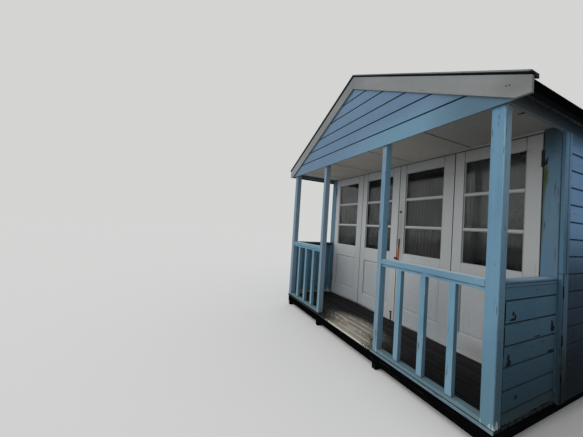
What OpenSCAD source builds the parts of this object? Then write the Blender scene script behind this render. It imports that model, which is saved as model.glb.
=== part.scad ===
// Timber beach hut with a railed veranda, boarded walls, a felted gable roof
// and four folding glazed doors. Origin at the centre of the footprint on the
// ground, +Z up, the veranda faces -Y. Millimetres.

/* [Hut] */
// Width over the corner posts
hut_w = 2970; // [2700:10:3300]
// Depth from the front of the posts to the back of the wall frame
hut_d = 3600; // [3000:50:4200]
// Height of the deck and the floor above the ground
floor_h = 170; // [150:5:300]
// Height from the deck to the underside of the gable boards
eaves_h = 1980; // [1960:10:2200]
// Slope of the roof in degrees
roof_pitch = 27.6; // [20:0.2:35]

/* [Veranda] */
// Depth from the front of the posts to the face of the doors
veranda_d = 785; // [600:5:1200]
// Width of a corner post
corner_post_w = 78; // [60:1:100]
// Width of a post beside the entry
inner_post_w = 50; // [40:1:70]
// Depth of every post
post_d = 71; // [60:1:90]
// Clear width of the railed bay on the right
right_bay_w = 877; // [700:1:900]
// Clear width of the entry
entry_w = 1011; // [800:1:1050]
// Top of the handrail above the deck
rail_h = 885; // [800:5:1000]
// Balusters in a bay
baluster_count = 3; // [2:1:4]
// Width of a baluster across the bay
baluster_w = 47; // [30:1:60]

/* [Walls] */
// Thickness of the wall studs
frame_t = 45; // [38:1:70]
// Thickness of the outer boards
board_t = 20; // [16:1:24]
// Thickness of the upright corner boards
corner_board_t = 24; // [20:1:28]

/* [Doors] */
// Width of the wall on each side of the doors
door_margin = 103; // [95:1:140]
// Thickness of a door leaf
leaf_t = 40; // [35:1:45]
// Reach of a leaf's front over the edge of the next one
leaf_lap = 12; // [8:1:15]
// Width of a door stile
stile_w = 106; // [80:1:120]
// Lights of glass in a leaf
light_count = 3; // [1:1:4]
// Height of a glazing bar
bar_h = 18; // [16:1:30]

/* [Roof] */
// Reach of the roof past the corner posts
eave_reach = 134; // [110:1:160]
// Height of a barge board, measured straight up
barge_h = 152; // [130:1:170]
// Thickness of a barge board
barge_t = 22; // [18:1:26]
// Height of the upright end of a barge board
barge_end_h = 112; // [95:1:125]
// Reach of the capping strips past the barge boards
verge_reach = 14; // [8:1:30]
// Thickness of the roof boards
roof_board_t = 12; // [9:1:18]

/* [Hidden] */
$fn = 32;

blue = "#7fb0c8";
white = "#d9d9d2";
glass_tint = "#55595c";
tarred = "#2b2a29";
weathered = "#6d655c";
felt_grey = "#4b4c4e";
bare_timber = "#b08d62";
rust = "#5a3422";
cloth = "#8f9496";

// Half widths and the front, back and door planes
half_w = hut_w / 2;
front_y = -hut_d / 2;
back_y = hut_d / 2;
door_y = front_y + veranda_d;
lining_y = door_y + board_t;
wall_in = half_w - frame_t;
wall_out = half_w + board_t;

// Heights from the ground
floor_board_t = 22;
bearer_h = 95;
bearer_z = floor_h - floor_board_t - bearer_h;
rim_t = 22;
fascia_z = floor_h + eaves_h;
boards_z = floor_h - 24;
ceiling_gap = 50;
ceiling_z = fascia_z + ceiling_gap;
ceiling_t = 12;
ceiling_top = ceiling_z + ceiling_t;

// Roof lines: the frame ends below the top edge of the barge boards, and the
// roof boards, the felt and the fascias run between the barge boards
slope = tan(roof_pitch);
roof_half = half_w + eave_reach;
ridge_z = fascia_z + barge_end_h + slope * roof_half;
frame_drop = 33;
boards_low = -frame_drop;
boards_high = roof_board_t / cos(roof_pitch) - frame_drop;
felt_t = 4;
felt_high = boards_high + felt_t / cos(roof_pitch);
fascia_x = roof_half - 20;
verge_y = hut_d / 2 + board_t;
ridge_t = 22;
gable_out = half_w + 50;

// Veranda posts, by their right faces
right_inner_x = half_w - corner_post_w - right_bay_w;
left_inner_x = right_inner_x - inner_post_w - entry_w;
left_corner_x = corner_post_w - half_w;

// Rails
rail_front_h = 43;
rail_rise = 5;
rail_d = 68;
rail_y = front_y + 3;
bead_in = 12;
bead_h = 25;
bottom_rail_h = 30;
bottom_rail_d = 58;
baluster_d = 42;
baluster_in = 8;
cap_h = 40;

// Doors
leaf_gap = 3;
leaf_count = 4;
door_half = half_w - door_margin;
leaf_w = 2 * door_half / leaf_count;
leaf_z = floor_h + 12;
head_z = fascia_z + 27;
leaf_h = head_z - leaf_gap - leaf_z;
top_rail_h = 106;
lock_rail_h = 175;
kick_rail_h = 186;
lights_z = leaf_z + 868;
light_w = leaf_w - 2 * stile_w;
light_h = (head_z - leaf_gap - top_rail_h - lights_z - (light_count - 1) * bar_h) / light_count;
jamb_x = door_half + leaf_gap / 2;
stop_w = 16;
stop_y = door_y + leaf_t;
frame_back_y = door_y + 90;
head_h = 70;

// Upright boards at the corners of the room
corner_board_w = 46;
corner_pair_y = door_y + 1;
corner_pair_w = 99;

// Height of the top of the barge boards above the ground, at x
function roof_z(x) = ridge_z - slope * abs(x);

// Height of the top of the frame that carries the roof boards, at x
function frame_z(x) = roof_z(x) - frame_drop;

// A block between its lowest and highest corners
module block(low, high) {
    translate(low) cube(high - low);
}

// An upright cross-section in (y, z), run along x
module along_x(x0, x1) {
    translate([x0, 0, 0]) rotate([90, 0, 90]) linear_extrude(x1 - x0) children();
}

// An upright cross-section in (x, z), run along y
module along_y(y0, y1) {
    translate([0, y1, 0]) rotate([90, 0, 0]) linear_extrude(y1 - y0) children();
}

// Both sides of the hut: the right one and its mirror image
module both_sides() {
    children();
    mirror([1, 0, 0]) children();
}

// Outline under the roof, from z up to the frame's top, out to x either way
module gable_outline(x, z) {
    polygon([[-x, z], [x, z], [x, frame_z(x)], [0, frame_z(0)], [-x, frame_z(x)]]);
}

// Outline of a layer on one slope, between two heights from the barge boards' top
module slope_layer(x0, x1, low, high) {
    polygon([[x0, roof_z(x0) + low], [x1, roof_z(x1) + low],
             [x1, roof_z(x1) + high], [x0, roof_z(x0) + high]]);
}

// Left and right face of each post, from the right
function post_xs() = [
    [half_w - corner_post_w, half_w],
    [right_inner_x - inner_post_w, right_inner_x],
    [left_inner_x - inner_post_w, left_inner_x],
    [-half_w, left_corner_x]
];

// Middles of the floor bearers
function bearer_xs() = [-1, -1 / 3, 1 / 3, 1] * (half_w - 50);

// Blocks under the bearers, and a short leg under the foot of each post
module foot_blocks() {
    pad = 100;
    leg_front = 4;
    leg_w = 50;
    color(tarred) {
        for (x = bearer_xs())
            for (y = [0, back_y - pad / 2])
                block([x - pad / 2, y - pad / 2, 0], [x + pad / 2, y + pad / 2, bearer_z]);
        for (x = post_xs())
            block([(x[0] + x[1] - leg_w) / 2, front_y + leg_front, 0],
                  [(x[0] + x[1] + leg_w) / 2, front_y + post_d, bearer_z]);
    }
}

module floor_bearers() {
    bearer_w = 70;
    color(tarred)
        for (x = bearer_xs())
            block([x - bearer_w / 2, front_y + rim_t, bearer_z],
                  [x + bearer_w / 2, back_y - rim_t, bearer_z + bearer_h]);
}

module rim_boards() {
    color(tarred)
        for (y = [front_y, back_y - rim_t])
            block([-half_w, y, bearer_z], [half_w, y + rim_t, bearer_z + bearer_h]);
}

module veranda_deck() {
    deck_nose = 12;
    color(weathered)
        block([-half_w, front_y - deck_nose, floor_h - floor_board_t], [half_w, door_y, floor_h]);
}

module room_floor() {
    color(bare_timber)
        block([-wall_in, door_y, floor_h - floor_board_t], [wall_in, back_y - frame_t, floor_h]);
}

module post(n) {
    color(blue)
        block([post_xs()[n][0], front_y, floor_h], [post_xs()[n][1], front_y + post_d, ceiling_top]);
}

// Left and right end of each railed bay
function bay_xs() = [
    [right_inner_x, half_w - corner_post_w],
    [left_corner_x, left_inner_x - inner_post_w]
];

// Handrails with a top that slopes to the front and a bead set back below
module handrails() {
    top = floor_h + rail_h;
    under = top - rail_rise - rail_front_h;
    color(blue)
        for (bay = bay_xs())
            along_x(bay[0], bay[1]) polygon([
                [rail_y, under], [rail_y, top - rail_rise], [rail_y + rail_d, top],
                [rail_y + rail_d, under], [rail_y + rail_d - bead_in, under],
                [rail_y + rail_d - bead_in, under - bead_h], [rail_y + bead_in, under - bead_h],
                [rail_y + bead_in, under]
            ]);
}

module bottom_rails() {
    color(blue)
        for (bay = bay_xs())
            block([bay[0], rail_y, floor_h], [bay[1], rail_y + bottom_rail_d, floor_h + bottom_rail_h]);
}

module balusters() {
    z0 = floor_h + bottom_rail_h;
    z1 = floor_h + rail_h - rail_rise - rail_front_h - bead_h;
    color(blue)
        for (bay = bay_xs()) {
            gap = (bay[1] - bay[0] - baluster_count * baluster_w) / (baluster_count + 1);
            for (i = [0 : baluster_count - 1])
                translate([bay[0] + gap + i * (baluster_w + gap), rail_y + baluster_in, z0])
                    cube([baluster_w, baluster_d, z1 - z0]);
        }
}

// Half-height boarding on two studs, between the corner post and the room
module side_panel() {
    panel_front = front_y + post_d + 8;
    stud = 42;
    top = floor_h + rail_h - cap_h;
    boards_in = half_w - 22;
    color(blue) {
        block([boards_in, panel_front, floor_h], [half_w - 2, door_y, top]);
        for (y = [panel_front, door_y - stud])
            block([boards_in - stud, y, floor_h], [boards_in, y + stud, top]);
    }
}

// Cappings with an outer edge that sheds water, over the side panels
module side_cappings() {
    cap_in = half_w - 70;
    cap_out = half_w + 3;
    cap_end = door_y - 12;
    bevel = 10;
    top = floor_h + rail_h;
    color(blue)
        both_sides()
            along_y(front_y + post_d, cap_end)
                polygon([[cap_in, top - cap_h], [cap_out, top - cap_h], [cap_out, top - bevel],
                         [cap_out - bevel, top], [cap_in, top]]);
}

// Studs and outer boards of a side wall of the room
module side_wall() {
    boards_front = corner_pair_y + corner_pair_w;
    boards_back = back_y - corner_board_w;
    color(blue) {
        block([wall_in, lining_y, floor_h - floor_board_t], [half_w, back_y, fascia_z]);
        block([half_w, boards_front, boards_z], [wall_out, boards_back, fascia_z]);
    }
}

module back_wall() {
    color(blue) {
        along_y(back_y - frame_t, back_y) gable_outline(wall_in, floor_h);
        along_y(back_y, back_y + board_t) gable_outline(wall_out, fascia_z);
        block([corner_board_w - half_w, back_y, boards_z],
              [half_w - corner_board_w, back_y + board_t, fascia_z]);
    }
}

// Upright boards that cover the ends of the outer boards. The front pairs have a
// joint: below it the first board is a narrow strip and the second a wide one
module corner_boards() {
    face = half_w + corner_board_t;
    back_face = back_y + corner_board_t;
    joint_z = floor_h + 918;
    upper_pair = [[0, corner_board_w], [63, corner_pair_w]];
    lower_pair = [[0, 10], [29, corner_pair_w]];
    color(blue)
        both_sides() {
            for (edge = upper_pair)
                block([half_w, corner_pair_y + edge[0], joint_z],
                      [face, corner_pair_y + edge[1], fascia_z]);
            for (edge = lower_pair)
                block([half_w, corner_pair_y + edge[0], boards_z],
                      [face, corner_pair_y + edge[1], joint_z]);
            block([half_w, back_y - corner_board_w, boards_z], [face, back_face, fascia_z]);
            block([half_w - corner_board_w, back_y, boards_z], [half_w, back_face, fascia_z]);
        }
}

// Flat boards between the door frame and the corners of the room
module front_wall_boards() {
    color(blue)
        both_sides()
            block([jamb_x, door_y, floor_h], [half_w, lining_y, ceiling_z]);
}

// Jambs with a stop that the outer leaves shut against
module door_jambs() {
    color(white)
        both_sides() {
            block([jamb_x, lining_y, floor_h], [wall_in, stop_y, head_z]);
            block([jamb_x - stop_w, stop_y, floor_h], [wall_in, frame_back_y, head_z]);
        }
}

// Head of the frame, with a facing over the leaves up to the ceiling
module door_head() {
    color(white) {
        block([-wall_in, lining_y, head_z], [wall_in, frame_back_y, head_z + head_h]);
        block([-jamb_x, door_y, head_z], [jamb_x, lining_y, ceiling_z]);
    }
}

module door_sill() {
    sill_h = 9;
    color(weathered) {
        block([-jamb_x, door_y, floor_h], [jamb_x, stop_y, floor_h + sill_h]);
        block([stop_w - jamb_x, stop_y, floor_h], [jamb_x - stop_w, frame_back_y, floor_h + sill_h]);
    }
}

// Joint between leaf n, counted from the left, and the one after it; the lap moves the front
function joint_x(n, lap = 0) = (n - leaf_count / 2) * leaf_w + (n > 0 && n < leaf_count ? lap : 0);

// Middle of the lights of leaf n
function leaf_x(n) = joint_x(n) - leaf_w / 2;

// Blocks that fill the lights of leaf n, from y0 back to y1
module lights(n, y0, y1) {
    for (i = [0 : light_count - 1])
        translate([leaf_x(n) - light_w / 2, y0, lights_z + i * (light_h + bar_h)])
            cube([light_w, y1 - y0, light_h]);
}

// Recess on one face of the bottom panel, around a raised field; y grows into the leaf
module panel_recess() {
    recess_d = 11;
    field_in = 34;
    field_d = 6;
    clear = 1;
    z0 = leaf_z + kick_rail_h;
    z1 = lights_z - lock_rail_h;
    difference() {
        block([-light_w / 2, -clear, z0], [light_w / 2, recess_d, z1]);
        block([field_in - light_w / 2, field_d, z0 + field_in],
              [light_w / 2 - field_in, recess_d + clear, z1 - field_in]);
    }
}

// Half the thickness of leaf n from y back, with its edges at the joints moved by the lap
module leaf_half(n, y, lap) {
    block([joint_x(n - 1, lap) + leaf_gap / 2, y, leaf_z],
          [joint_x(n, lap) - leaf_gap / 2, y + leaf_t / 2, leaf_z + leaf_h]);
}

// A framed leaf with rebated edges: glazed lights over a lock rail and a raised bottom panel
module door_leaf(n) {
    clear = 1;
    color(white)
        difference() {
            union() {
                leaf_half(n, door_y, leaf_lap);
                leaf_half(n, door_y + leaf_t / 2, 0);
            }
            lights(n, door_y - clear, stop_y + clear);
            translate([leaf_x(n), door_y, 0]) panel_recess();
            translate([leaf_x(n), stop_y, 0]) mirror([0, 1, 0]) panel_recess();
        }
}

// Panes held in the lights of all the leaves
module door_glass() {
    pane_t = 4;
    pane_y = door_y + leaf_t / 2;
    color(glass_tint)
        for (n = [1 : leaf_count])
            lights(n, pane_y - pane_t / 2, pane_y + pane_t / 2);
}

// A plain curtain on the back of each leaf
module door_curtains() {
    curtain_w = 560;
    curtain_t = 14;
    hem = 60;
    color(cloth)
        for (n = [1 : leaf_count])
            block([leaf_x(n) - curtain_w / 2, stop_y, lights_z - hem],
                  [leaf_x(n) + curtain_w / 2, stop_y + curtain_t, leaf_z + leaf_h - hem]);
}

// A butt hinge at x, with its plates lying on y and the knuckle proud on the side given
module hinge(x, y, side) {
    knuckle_r = 6;
    hinge_l = 140;
    plate_w = 16;
    plate_t = 2;
    translate([x, y, -hinge_l / 2]) {
        translate([0, side * (knuckle_r - 2), 0]) cylinder(r = knuckle_r, h = hinge_l);
        translate([-plate_w, min(0, side * plate_t), 0]) cube([2 * plate_w, plate_t, hinge_l]);
    }
}

// Hinges on the jambs outside, and between the paired leaves inside
module door_hinges() {
    bottom = leaf_z + 268;
    top = head_z - 207;
    color(rust)
        for (z = [bottom, top])
            both_sides() {
                translate([0, 0, z]) hinge(door_half, door_y, -1);
                translate([0, 0, z]) hinge(leaf_w, stop_y, 1);
            }
}

// Strap and hasp on the meeting stiles, a lock knob above and a drop bolt below
module door_lock() {
    strap_x = 45;
    strap_w = 17;
    strap_z = floor_h + 797;
    strap_l = 270;
    knob_z = floor_h + 1408;
    bolt_x = -33;
    bolt_l = 130;
    color(rust) {
        block([strap_x - strap_w / 2, door_y - 4, strap_z],
              [strap_x + strap_w / 2, door_y, strap_z + strap_l]);
        block([-24, door_y - 6, strap_z + 14], [strap_x, door_y, strap_z + 44]);
        translate([strap_x + 3, door_y, knob_z]) rotate([90, 0, 0]) cylinder(r = 13, h = 12);
        block([bolt_x - 9, door_y - 4, leaf_z + 14], [bolt_x + 9, door_y, leaf_z + 90]);
        translate([bolt_x, door_y - 7, floor_h]) cylinder(r = 5, h = bolt_l);
        block([bolt_x - 13, door_y - 14, floor_h + bolt_l - 16],
              [bolt_x + 13, door_y - 2, floor_h + bolt_l]);
    }
}

// Ceiling boards, cut around the posts
module veranda_ceiling() {
    clear = 1;
    color(white)
        difference() {
            block([-half_w, front_y, ceiling_z], [half_w, lining_y, ceiling_top]);
            for (x = post_xs())
                block([x[0], front_y - clear, ceiling_z - clear],
                      [x[1], front_y + post_d, ceiling_top + clear]);
        }
}

// The front wall of the room above its door head, up to the roof
module room_gable() {
    color(bare_timber)
        along_y(lining_y, lining_y + frame_t) gable_outline(wall_in, head_z + head_h);
}

// Gable boards that hang below the ceiling, on a frame that stands on the posts
module front_gable() {
    color(blue) {
        along_y(front_y - board_t, front_y) gable_outline(gable_out, fascia_z);
        along_y(front_y, front_y + frame_t) gable_outline(half_w, ceiling_top);
    }
}

// Outline from z up to the frame's top, between x0 and x1
module under_frame(x0, x1, z) {
    polygon([[x0, z], [x1, z], [x1, frame_z(x1)], [x0, frame_z(x0)]]);
}

// Beams over the side walls, and over the ceiling at the sides of the veranda
module eave_beams() {
    color(blue)
        both_sides() {
            along_y(front_y + frame_t, lining_y) under_frame(wall_in, half_w, ceiling_top);
            along_y(lining_y, back_y) under_frame(wall_in, half_w, fascia_z);
        }
}

module frieze_boards() {
    color(blue)
        both_sides()
            along_y(front_y, back_y) under_frame(half_w, wall_out, fascia_z);
}

// Ridge board, broken by the gable over the doors
module ridge_board() {
    half = ridge_t / 2;
    ridge_d = 120;
    color(bare_timber)
        for (y = [[front_y + frame_t, lining_y], [lining_y + frame_t, back_y - frame_t]])
            along_y(y[0], y[1])
                gable_outline(half, frame_z(0) - ridge_d);
}

// Rafters over the room, between the ridge board and the eave beams
module rafters() {
    rafter_t = 45;
    rafter_d = 80;
    rafter_count = 4;
    inner = ridge_t / 2;
    first_y = lining_y + frame_t;
    spacing = (back_y - frame_t - first_y) / (rafter_count + 1);
    color(bare_timber)
        both_sides()
            for (i = [1 : rafter_count])
                along_y(first_y + i * spacing - rafter_t / 2, first_y + i * spacing + rafter_t / 2)
                    slope_layer(inner, wall_in, -frame_drop - rafter_d, -frame_drop);
}

// Barge boards with a plumb joint at the apex, cut upright and level at the foot,
// each under a capping strip that also lies on the felt
module barge_boards() {
    joint = 1;
    foot_x = roof_half - (barge_h - barge_end_h) / slope;
    strip_x = roof_half + 3;
    strip_t = 13;
    strip_y = 50 - verge_y;
    color(white)
        both_sides() {
            along_y(-verge_y - barge_t, -verge_y)
                polygon([[joint, roof_z(joint) - barge_h], [foot_x, fascia_z], [roof_half, fascia_z],
                         [roof_half, roof_z(roof_half)], [joint, roof_z(joint)]]);
            along_y(-verge_y - barge_t - verge_reach, strip_y) slope_layer(joint, strip_x, 0, strip_t);
            along_y(-verge_y, strip_y) slope_layer(joint, strip_x, felt_high, 0);
        }
}

module eave_fascias() {
    fascia_t = 20;
    color(tarred)
        both_sides()
            along_y(-verge_y, verge_y) under_frame(fascia_x - fascia_t, fascia_x, fascia_z);
}

module roof_boards() {
    color(bare_timber)
        along_y(-verge_y, verge_y) slope_layer(0, fascia_x, boards_low, boards_high);
}

// Felt over one slope, turned down over the fascia
module roof_felt() {
    lip_x = fascia_x + felt_t;
    felt_drop = 50;
    foot_z = frame_z(fascia_x) - felt_drop;
    color(felt_grey)
        along_y(-verge_y, verge_y)
            polygon([[0, ridge_z + boards_high], [fascia_x, roof_z(fascia_x) + boards_high],
                     [fascia_x, foot_z], [lip_x, foot_z],
                     [lip_x, roof_z(lip_x) + felt_high], [0, ridge_z + felt_high]]);
}

foot_blocks();
floor_bearers();
rim_boards();
veranda_deck();
room_floor();
post(0);  // post_right_corner
post(1);  // post_right_inner
post(2);  // post_left_inner
post(3);  // post_left_corner
handrails();
bottom_rails();
balusters();
side_panel();  // side_panel_right
mirror([1, 0, 0]) side_panel();  // side_panel_left
side_cappings();
side_wall();  // wall_right
mirror([1, 0, 0]) side_wall();  // wall_left
back_wall();
corner_boards();
front_wall_boards();
door_jambs();
door_head();
door_sill();
door_leaf(1);  // door_leaf_1
door_leaf(2);  // door_leaf_2
door_leaf(3);  // door_leaf_3
door_leaf(4);  // door_leaf_4
door_glass();
door_curtains();
door_hinges();
door_lock();
veranda_ceiling();
room_gable();
front_gable();
eave_beams();
frieze_boards();
ridge_board();
rafters();
barge_boards();  // barge_boards_front
mirror([0, 1, 0]) barge_boards();  // barge_boards_back
eave_fascias();
roof_boards();  // roof_boards_right
mirror([1, 0, 0]) roof_boards();  // roof_boards_left
roof_felt();  // roof_felt_right
mirror([1, 0, 0]) roof_felt();  // roof_felt_left
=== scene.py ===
# %% [markdown]
# # A painted beach hut
# This notebook dresses the solids of a small timber hut: boards, posts, doors, felt and rust.
# Every solid is already in its place, in metres, with the ground at z = 0 and the veranda facing -Y.
# Each cell makes one kind of piece and prints what it made, so a step can be run and looked at alone.

# %% Load the solids
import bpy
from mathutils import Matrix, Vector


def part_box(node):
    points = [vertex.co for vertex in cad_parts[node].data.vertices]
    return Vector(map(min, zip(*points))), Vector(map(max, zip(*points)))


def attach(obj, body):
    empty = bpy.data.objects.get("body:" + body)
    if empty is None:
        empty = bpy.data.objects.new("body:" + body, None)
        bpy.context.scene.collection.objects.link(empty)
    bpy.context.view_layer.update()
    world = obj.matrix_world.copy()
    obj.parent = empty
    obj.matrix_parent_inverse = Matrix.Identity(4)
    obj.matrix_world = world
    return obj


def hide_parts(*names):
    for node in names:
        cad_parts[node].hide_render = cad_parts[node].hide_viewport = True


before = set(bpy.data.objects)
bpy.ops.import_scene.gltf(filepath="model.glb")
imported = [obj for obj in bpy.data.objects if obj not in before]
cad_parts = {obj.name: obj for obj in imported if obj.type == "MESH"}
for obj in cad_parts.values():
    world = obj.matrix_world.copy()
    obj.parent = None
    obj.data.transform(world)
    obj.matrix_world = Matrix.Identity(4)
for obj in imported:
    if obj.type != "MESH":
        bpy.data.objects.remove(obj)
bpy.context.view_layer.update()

import math
import random

import bmesh
import bpy
from mathutils import Matrix, Vector, noise

scene = bpy.context.scene
chance = random.Random(11)

# %% [markdown]
# ## Where things are
# A maker takes every length from the frame that stands already. The same is done here: the corners of
# the solids give the planes of the hut, and the pieces are cut to them. The roof is one straight line
# on each side, so its height above the ground is a function of the distance from the middle. The roof
# boards lie lower than the barge boards' top edge, and everything that carries them ends lower still.

# %% Planes of the hut
def solid(node):
    low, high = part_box(node)
    return Vector(low), Vector(high)


low, high = solid("post_right_corner")
half_w, front_y, post_back = high.x, low.y, high.y
floor_z, fascia_z = solid("veranda_deck")[1].z, solid("front_gable")[0].z
ceiling_z, ceiling_top = (corner.z for corner in solid("veranda_ceiling"))
low, high = solid("wall_right")
wall_in, boards_z, back_y = low.x, low.z, high.y
# Thickness of the boarding and of the capping strips, and how far the frame ends below the roof line
CLADDING, STRIP_T, FRAME_DROP = 0.02, 0.013, 0.033
door_y = solid("front_wall_boards")[0].y
lining_y, wall_out, verge_y = door_y + CLADDING, half_w + CLADDING, back_y + CLADDING
POSTS = ("post_right_corner", "post_right_inner", "post_left_inner", "post_left_corner")

RAKE = math.radians(27.6)
slope = math.tan(RAKE)
boards_top = 0.012 / math.cos(RAKE) - FRAME_DROP
ridge_z = solid("barge_boards_front")[1].z - STRIP_T + slope * 0.001


def roof_z(x):
    return ridge_z - slope * abs(x)


def frame_z(x):
    return roof_z(x) - FRAME_DROP


print("half width", round(half_w, 4), "ridge", round(ridge_z, 4), "doors at y", round(door_y, 4))

# %% [markdown]
# ## The camera
# The picture was taken with a very wide lens, close to the right corner post and a little below the
# eaves, so the near post looks large and the roof runs away steeply. The three directions of the
# camera are worked out from its turn, its tilt and its lean to one side.

# %% Camera
def into_scene(name, data):
    made = bpy.data.objects.new(name, data)
    scene.collection.objects.link(made)
    return made


def aim(place, turn, tilt, lean, lens):
    forward = Vector((-math.cos(turn) * math.cos(tilt), math.sin(turn) * math.cos(tilt), math.sin(tilt)))
    right = forward.cross(Vector((0, 0, 1))).normalized()
    up = right.cross(forward)
    side = right * math.cos(lean) + up * math.sin(lean)
    top = up * math.cos(lean) - right * math.sin(lean)
    data = bpy.data.cameras.new("camera")
    data.lens, data.sensor_width, data.clip_start = lens, 36.0, 0.05
    camera = into_scene("camera", data)
    camera.matrix_world = Matrix.Translation(place) @ Matrix((side, top, -forward)).transposed().to_4x4()
    return camera


scene.camera = aim(place=Vector((2.2988, -3.5848, 1.3162)), turn=math.radians(24.76),
                   tilt=math.radians(1.643), lean=math.radians(3.679), lens=15.113)
print("camera at", tuple(scene.camera.location))

# %% [markdown]
# ## Nodes
# A small class keeps the light and material cells readable. It belongs to one node tree, and each
# method adds a node, fills its inputs with numbers or joins them to other nodes, and returns an
# output. Colours are written as they look on screen, as three numbers up to 255, and are turned into
# the linear numbers that a shader needs.

# %% Node helpers
def tone(red, green, blue):
    def linear(v):
        v /= 255
        return v / 12.92 if v <= 0.04045 else ((v + 0.055) / 1.055) ** 2.4
    return (linear(red), linear(green), linear(blue), 1.0)


class Nodes:
    def __init__(self, tree):
        self.tree = tree

    def feed(self, node, inputs):
        for name, value in inputs.items():
            socket = node.inputs[name]
            if isinstance(value, bpy.types.NodeSocket):
                self.tree.links.new(value, socket)
            else:
                socket.default_value = tone(*value) if socket.type == "RGBA" and len(value) == 3 else value

    def put(self, kind, inputs, output=0, **settings):
        node = self.tree.nodes.new("ShaderNode" + kind)
        for name, value in settings.items():
            setattr(node, name, value)
        self.feed(node, inputs)
        return node.outputs if output is None else node.outputs[output]

    def reckon(self, operation, a, b=0.0, **settings):
        return self.put("Math", {0: a, 1: b}, operation=operation, **settings)

    def times(self, a, b):
        return self.reckon("MULTIPLY", a, b)

    def plus(self, a, b):
        return self.reckon("ADD", a, b)

    def fade(self, value, low, high, to_low=0.0, to_high=1.0):
        return self.put("MapRange", {"Value": value, "From Min": low, "From Max": high, "To Min": to_low,
                        "To Max": to_high}, interpolation_type="SMOOTHSTEP")

    def mix(self, factor, a, b):
        return self.put("Mix", {0: factor, 6: a, 7: b}, 2, data_type="RGBA")

    def scaled(self, vector, scale, shift=(0, 0, 0)):
        return self.put("Mapping", {"Vector": vector, "Scale": scale, "Location": shift})

    def cloud(self, vector, scale, shift=(0, 0, 0), detail=4, roughness=0.55):
        return self.put("TexNoise", {"Vector": self.scaled(vector, scale, shift), "Scale": 1.0,
                        "Detail": detail, "Roughness": roughness}, "Fac")

    def board_data(self, name, output="Fac"):
        return self.put("Attribute", {}, output, attribute_name=name)

    def height_of(self, place):
        return self.put("SeparateXYZ", {0: place}, "Z")

    def bump(self, strength, distance, height, **more):
        return self.put("Bump", {"Strength": strength, "Distance": distance, "Height": height, **more})

    def use(self, group, inputs):
        return self.put("Group", inputs, None, node_tree=group)


# The finishes by name. The solids bring materials of their own, and one of those is called roof_felt
# too, so a finish is looked up here and not in bpy.data.
finishes = {}


def new_group(name, inputs, outputs):
    group = bpy.data.node_groups.new(name, "ShaderNodeTree")
    for label, value in inputs.items():
        kind = "NodeSocketFloat" if isinstance(value, float) else "NodeSocketVector"
        group.interface.new_socket(name=label, in_out="INPUT", socket_type=kind).default_value = value
    for label in outputs:
        group.interface.new_socket(name=label, in_out="OUTPUT", socket_type="NodeSocketFloat")
    return Nodes(group), group.nodes.new("NodeGroupInput").outputs, group.nodes.new("NodeGroupOutput")


def new_finish(name):
    material = finishes[name] = bpy.data.materials.new(name)
    material.use_nodes = True
    n = Nodes(material.node_tree)
    return n, n.tree.nodes["Principled BSDF"], n.put("TexCoord", {}, "Object")


print("blue paint in linear numbers:", [round(v, 3) for v in tone(108, 146, 170)])

# %% [markdown]
# ## Plain studio light
# A painted board should look about as bright as its paint is written. A pale world gives half of the
# light, from everywhere, and one very wide lamp to the front left gives the rest, so the hut has a lit
# and a shaded side but no hard shadow. The backdrop's brightness is only for the camera and for what
# is seen through glass, so it adds nothing to the boards.

# %% World and lamp
def light_world(strength, seen):
    world = bpy.data.worlds.new("studio")
    scene.world = world
    world.use_nodes = True
    world.node_tree.nodes.clear()
    n = Nodes(world.node_tree)
    path = n.put("LightPath", {}, None)
    shown = path["Is Camera Ray"]
    for ray in ("Is Glossy Ray", "Is Transmission Ray"):
        shown = n.reckon("MAXIMUM", shown, path[ray])
    lit = n.put("Background", {"Color": (0.95, 0.98, 1.0, 1), "Strength": strength})
    back = n.put("Background", {"Color": (1.0, 1.0, 0.99, 1), "Strength": seen})
    n.put("OutputWorld", {"Surface": n.put("MixShader", {0: shown, 1: lit, 2: back})}, None)


def wide_lamp(name, to_light, spread, strength):
    data = bpy.data.lights.new(name, "SUN")
    data.angle, data.energy = math.radians(spread), strength
    lamp = into_scene(name, data)
    lamp.rotation_euler = Vector(to_light).to_track_quat("Z", "Y").to_euler()
    lamp.visible_glossy = False


light_world(strength=0.46, seen=0.66)
wide_lamp("key", to_light=(-0.36, -0.80, 0.36), spread=70, strength=2.3)
scene.view_settings.view_transform = "Standard"

# %% [markdown]
# ## Shared effects
# Four things happen to every board on this hut. Its fibres stand up under the paint, the paint wears
# through along the arrises, flakes let go in patches that follow the grain, and rain carries dirt
# down; low on the right wall, the corner post and the right panel that darkening also stands for
# painted shade. Each is a node group, made once and used with other values in each finish. The boards
# bring their own data: "grain" is a place measured with the fibres along z, "edge" is 1 on an arris,
# and "joint" is 1 deep in a joint, where dirt stays, and on the undersides and ends where
# shade is painted in.

# %% Grain group
ORIGIN = (0, 0, 0)
n, given, out = new_group("timber_grain", {"Grain": ORIGIN}, ("Fibre", "Streak", "Crack"))
along = given["Grain"]
split = n.cloud(along, (120, 120, 7), (3, 1, 5), 2)
where = n.cloud(along, (9, 9, 1.6), (7, 2, 1), 2)
n.feed(out, {"Fibre": n.cloud(along, (230, 230, 7), detail=3), "Streak": n.cloud(along, (34, 34, 1.3)),
             "Crack": n.times(n.fade(split, 0.36, 0.29), n.fade(where, 0.46, 0.56))})
grain_group = n.tree
print("group:", grain_group.name, [socket.name for socket in grain_group.interface.items_tree])

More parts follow.
